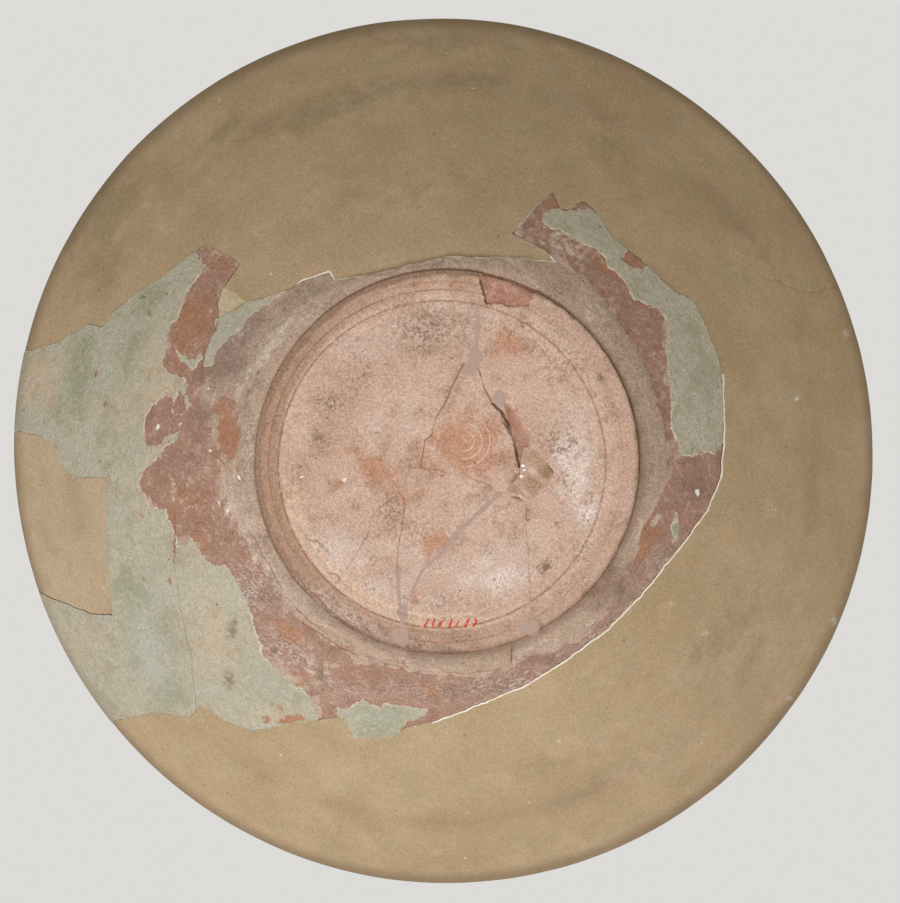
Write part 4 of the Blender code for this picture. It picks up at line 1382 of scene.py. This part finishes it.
def new_piece(name, rows, triangles, material, values, slot, *replaced):
    """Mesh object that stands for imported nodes, with the values its material reads at each vertex."""
    mesh = bpy.data.meshes.new(name)
    mesh.vertices.add(len(rows))
    mesh.vertices.foreach_set("co", rows[:, :3].astype(np.float32).ravel())
    mesh.loops.add(triangles.size)
    mesh.loops.foreach_set("vertex_index", triangles.astype(np.int32).ravel())
    mesh.polygons.add(len(triangles))
    mesh.polygons.foreach_set("loop_start", np.arange(0, triangles.size, 3, dtype=np.int32))
    mesh.update(calc_edges=True)
    mesh.shade_smooth()
    mesh.set_sharp_from_angle(angle=SHARP_ANGLE)
    for label, value in values.items():
        mesh.attributes.new(label, "FLOAT", "POINT").data.foreach_set("value", value.astype(np.float32))
    mesh.materials.append(material)
    piece = add_object(name, mesh)
    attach(piece, "root")
    if replaced:
        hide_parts(*replaced)


def add_object(name, data):
    """A new object in the scene, for a mesh, lamp or camera."""
    made = bpy.data.objects.new(name, data)
    bpy.context.scene.collection.objects.link(made)
    return made


def glue_lens():
    """The glue as a thin closed lens on the foot's underside, bulging downward.

    Gives its rows, its triangles, and each row's place and depth inside its edge in the view.
    """
    low, high = np.min(GLUE_EDGE, 0) - 1.0, np.max(GLUE_EDGE, 0) + 1.0
    across, down = (np.arange(low[i], high[i] + GLUE_GRID, GLUE_GRID) for i in range(2))
    grid = np.stack(np.meshgrid(across, down), -1).reshape(-1, 2)
    corner = (np.arange(len(down) - 1)[:, None] * len(across) + np.arange(len(across) - 1)).ravel()
    beside, below = corner + 1, corner + len(across)
    halves = ((corner, beside, below), (beside, below + 1, below))
    triangles = np.concatenate([np.stack(half, 1) for half in halves])
    points, triangles, border = clip(grid, triangles, depth_inside(grid, GLUE_EDGE))
    points, number = used_rows(points, triangles)
    triangles, border = number[triangles], number[border]
    plan = np.column_stack(foot_place(*points.T)[:2])
    depth = np.maximum(depth_inside(points, GLUE_EDGE), 0.0)
    surface = foot_surface(np.hypot(plan[:, 0], plan[:, 1])) + GLUE_SUNK
    rise = 1 - np.exp(-depth / GLUE_SLOPE)
    under = surface - GLUE_DOME * rise * (1 + GLUE_LUMPS * ripple(plan, *GLUE_RIPPLE))
    upper = surface + GLUE_HIDDEN * rise
    edge = np.zeros(len(points), bool)
    edge[np.unique(border)] = True
    back = np.where(edge, np.arange(len(points)), len(points) + np.cumsum(~edge) - 1)
    rows = np.concatenate((np.column_stack((plan, under)), np.column_stack((plan, upper))[~edge]))
    front = triangles if turns_down(rows, triangles) else triangles[:, ::-1]
    faces = np.concatenate((front, back[front][:, ::-1]))
    rows[:, 2] = np.maximum(rows[:, 2], SKIN / 3)
    return rows, faces, np.concatenate((points, points[~edge])), np.concatenate((depth, depth[~edge]))


def turns_down(rows, triangles):
    """Whether the first triangles face down."""
    a, b, c = (rows[triangles[:50, i]] for i in range(3))
    return np.cross(b - a, c - a)[:, 2].sum() < 0


def foot_surface(radius):
    """Height of the foot's hollowed underside."""
    return SKIN + FOOT_HOLLOW * np.maximum(1 - (radius / HOLLOW_END) ** 2, 0.0)


def add_glue():
    """Old glue that pooled in the loss."""
    rows, faces, view, depth = glue_lens()
    values = {"depth": depth, "glint": marks(view, PAINTED_GLINTS), "olive": marks(view, GLUE_POOLS)}
    new_piece("old_glue", rows, faces, glue_finish(), values, "glazed_earthenware")


def raise_surface(rows, raised):
    """Move each row along the way it faces, and keep the foot above the floor it stands on."""
    rows[:, :3] += rows[:, 3:6] * raised[:, None]
    rows[:, 2] = np.maximum(rows[:, 2], SKIN / 2)


def wear_foot_edge(rows, worn):
    """Lift the worn stretch of the foot's edge, less and less up its side."""
    rows[:, 2] += worn * (1 - ease(rows[:, 2], 0.0, FOOT_HEIGHT - FOOT_FILLET))


def add_bowl(rows, triangles):
    """The earthenware, the plaster of the lost wall and the plaster patch, cut from one bowl."""
    view = ragged_view(rows)
    half_gap = JOINT_GAP / 2 / VIEW_UNIT
    sherd, patch = depth_inside(view, SHERD_EDGE), depth_inside(view, RIM_PATCH_EDGE)
    piece, faces = cut_piece(rows, triangles, np.minimum(sherd, -patch) - half_gap)
    values, raised, worn = earthenware_values(piece)
    raise_surface(piece, raised)
    wear_foot_edge(piece, worn)
    new_piece("earthenware_bowl_finished", piece, faces, earthenware_finish(), values,
              "glazed_earthenware", "earthenware_bowl")
    for node, depth, edge, side, slot in (
            ("plaster_wall_fill", -sherd, SHERD_EDGE, 1, "painted_plaster"),
            ("plaster_rim_patch", patch, RIM_PATCH_EDGE, -1, "rim_patch_plaster")):
        piece, faces = cut_piece(rows, triangles, depth - half_gap)
        values, raised = plaster_values(piece, edge, side)
        raise_surface(piece, raised)
        material = plaster_finish(slot, *PAINT_TONES[slot])
        new_piece(node + "_finished", piece, faces, material, values, slot, node)


# Camera, light and floor

def facing(place, target, up):
    """Rotation that looks from a place to a target, with up at the top."""
    back = (place - target).normalized()
    right = up.cross(back).normalized()
    return Matrix((right, back.cross(right), back)).transposed().to_euler()


def add_camera():
    data = bpy.data.cameras.new("camera")
    data.lens = LENS
    camera = add_object("camera", data)
    camera.location = view_place(CAMERA_RIGHT, CAMERA_UP, -VIEW_DISTANCE)
    target = Vector(view_place(AIM_RIGHT, AIM_UP, AIM_HEIGHT))
    camera.rotation_euler = facing(camera.location, target, Vector(view_place(0.0, 1.0)))
    bpy.context.scene.camera = camera


def add_light(name, place, size, power, colour):
    data = bpy.data.lights.new(name, "AREA")
    data.shape = "DISK"
    data.size = size
    data.energy = power
    data.color = colour
    light = add_object(name, data)
    light.location = place
    light.rotation_euler = (Vector(place) - LAMP_TARGET).to_track_quat("Z", "Y").to_euler()
    light.visible_camera = False


def mix_shaders(tree, share, first, second, output):
    """Show a second shader in place of the first by a share."""
    mix = tree.nodes.new("ShaderNodeMixShader")
    for source, socket in ((share, mix.inputs[0]), (first, mix.inputs[1]), (second, mix.inputs[2]),
                           (mix.outputs[0], tree.nodes[output].inputs[0])):
        tree.links.new(source, socket)


def add_world():
    """Even pale surroundings, seen brighter than the light they give."""
    world = bpy.data.worlds.new("studio")
    world.use_nodes = True
    tree = world.node_tree
    light = tree.nodes["Background"]
    light.inputs["Color"].default_value = AMBIENT_COLOUR
    light.inputs["Strength"].default_value = AMBIENT
    seen = tree.nodes.new("ShaderNodeBackground")
    seen.inputs["Color"].default_value = BACKDROP
    path = tree.nodes.new("ShaderNodeLightPath")
    mix_shaders(tree, path.outputs["Is Camera Ray"], light.outputs[0], seen.outputs[0], "World Output")
    bpy.context.scene.world = world


def add_floor():
    """Pale floor under the foot. It is see-through from below, since the view is from under it."""
    mesh = bpy.data.meshes.new("floor")
    half = FLOOR_SIZE / 2
    corners = [(-half, -half, 0), (half, -half, 0), (half, half, 0), (-half, half, 0)]
    mesh.from_pydata(corners, [], [(0, 1, 2, 3)])
    material = bpy.data.materials.new("floor")
    material.use_nodes = True
    tree = material.node_tree
    shader = tree.nodes["Principled BSDF"]
    shader.inputs["Base Color"].default_value = FLOOR_COLOUR
    shader.inputs["Roughness"].default_value = FLOOR_ROUGHNESS
    side = tree.nodes.new("ShaderNodeNewGeometry")
    clear = tree.nodes.new("ShaderNodeBsdfTransparent")
    mix_shaders(tree, side.outputs["Backfacing"], shader.outputs[0], clear.outputs[0], "Material Output")
    mesh.materials.append(material)
    floor = add_object("floor", mesh)
    floor.location.z = -FLOOR_DROP
    floor.visible_shadow = False
    floor.visible_diffuse = False


def build():
    add_bowl(*refine(*turned_bowl()))
    add_glue()
    add_camera()
    add_floor()
    add_world()
    for name, right, up, height, size, power, colour in LIGHTS:
        add_light(name, view_place(right, up, height), size, power, colour)
    bpy.context.scene.view_settings.view_transform = "Standard"


build()
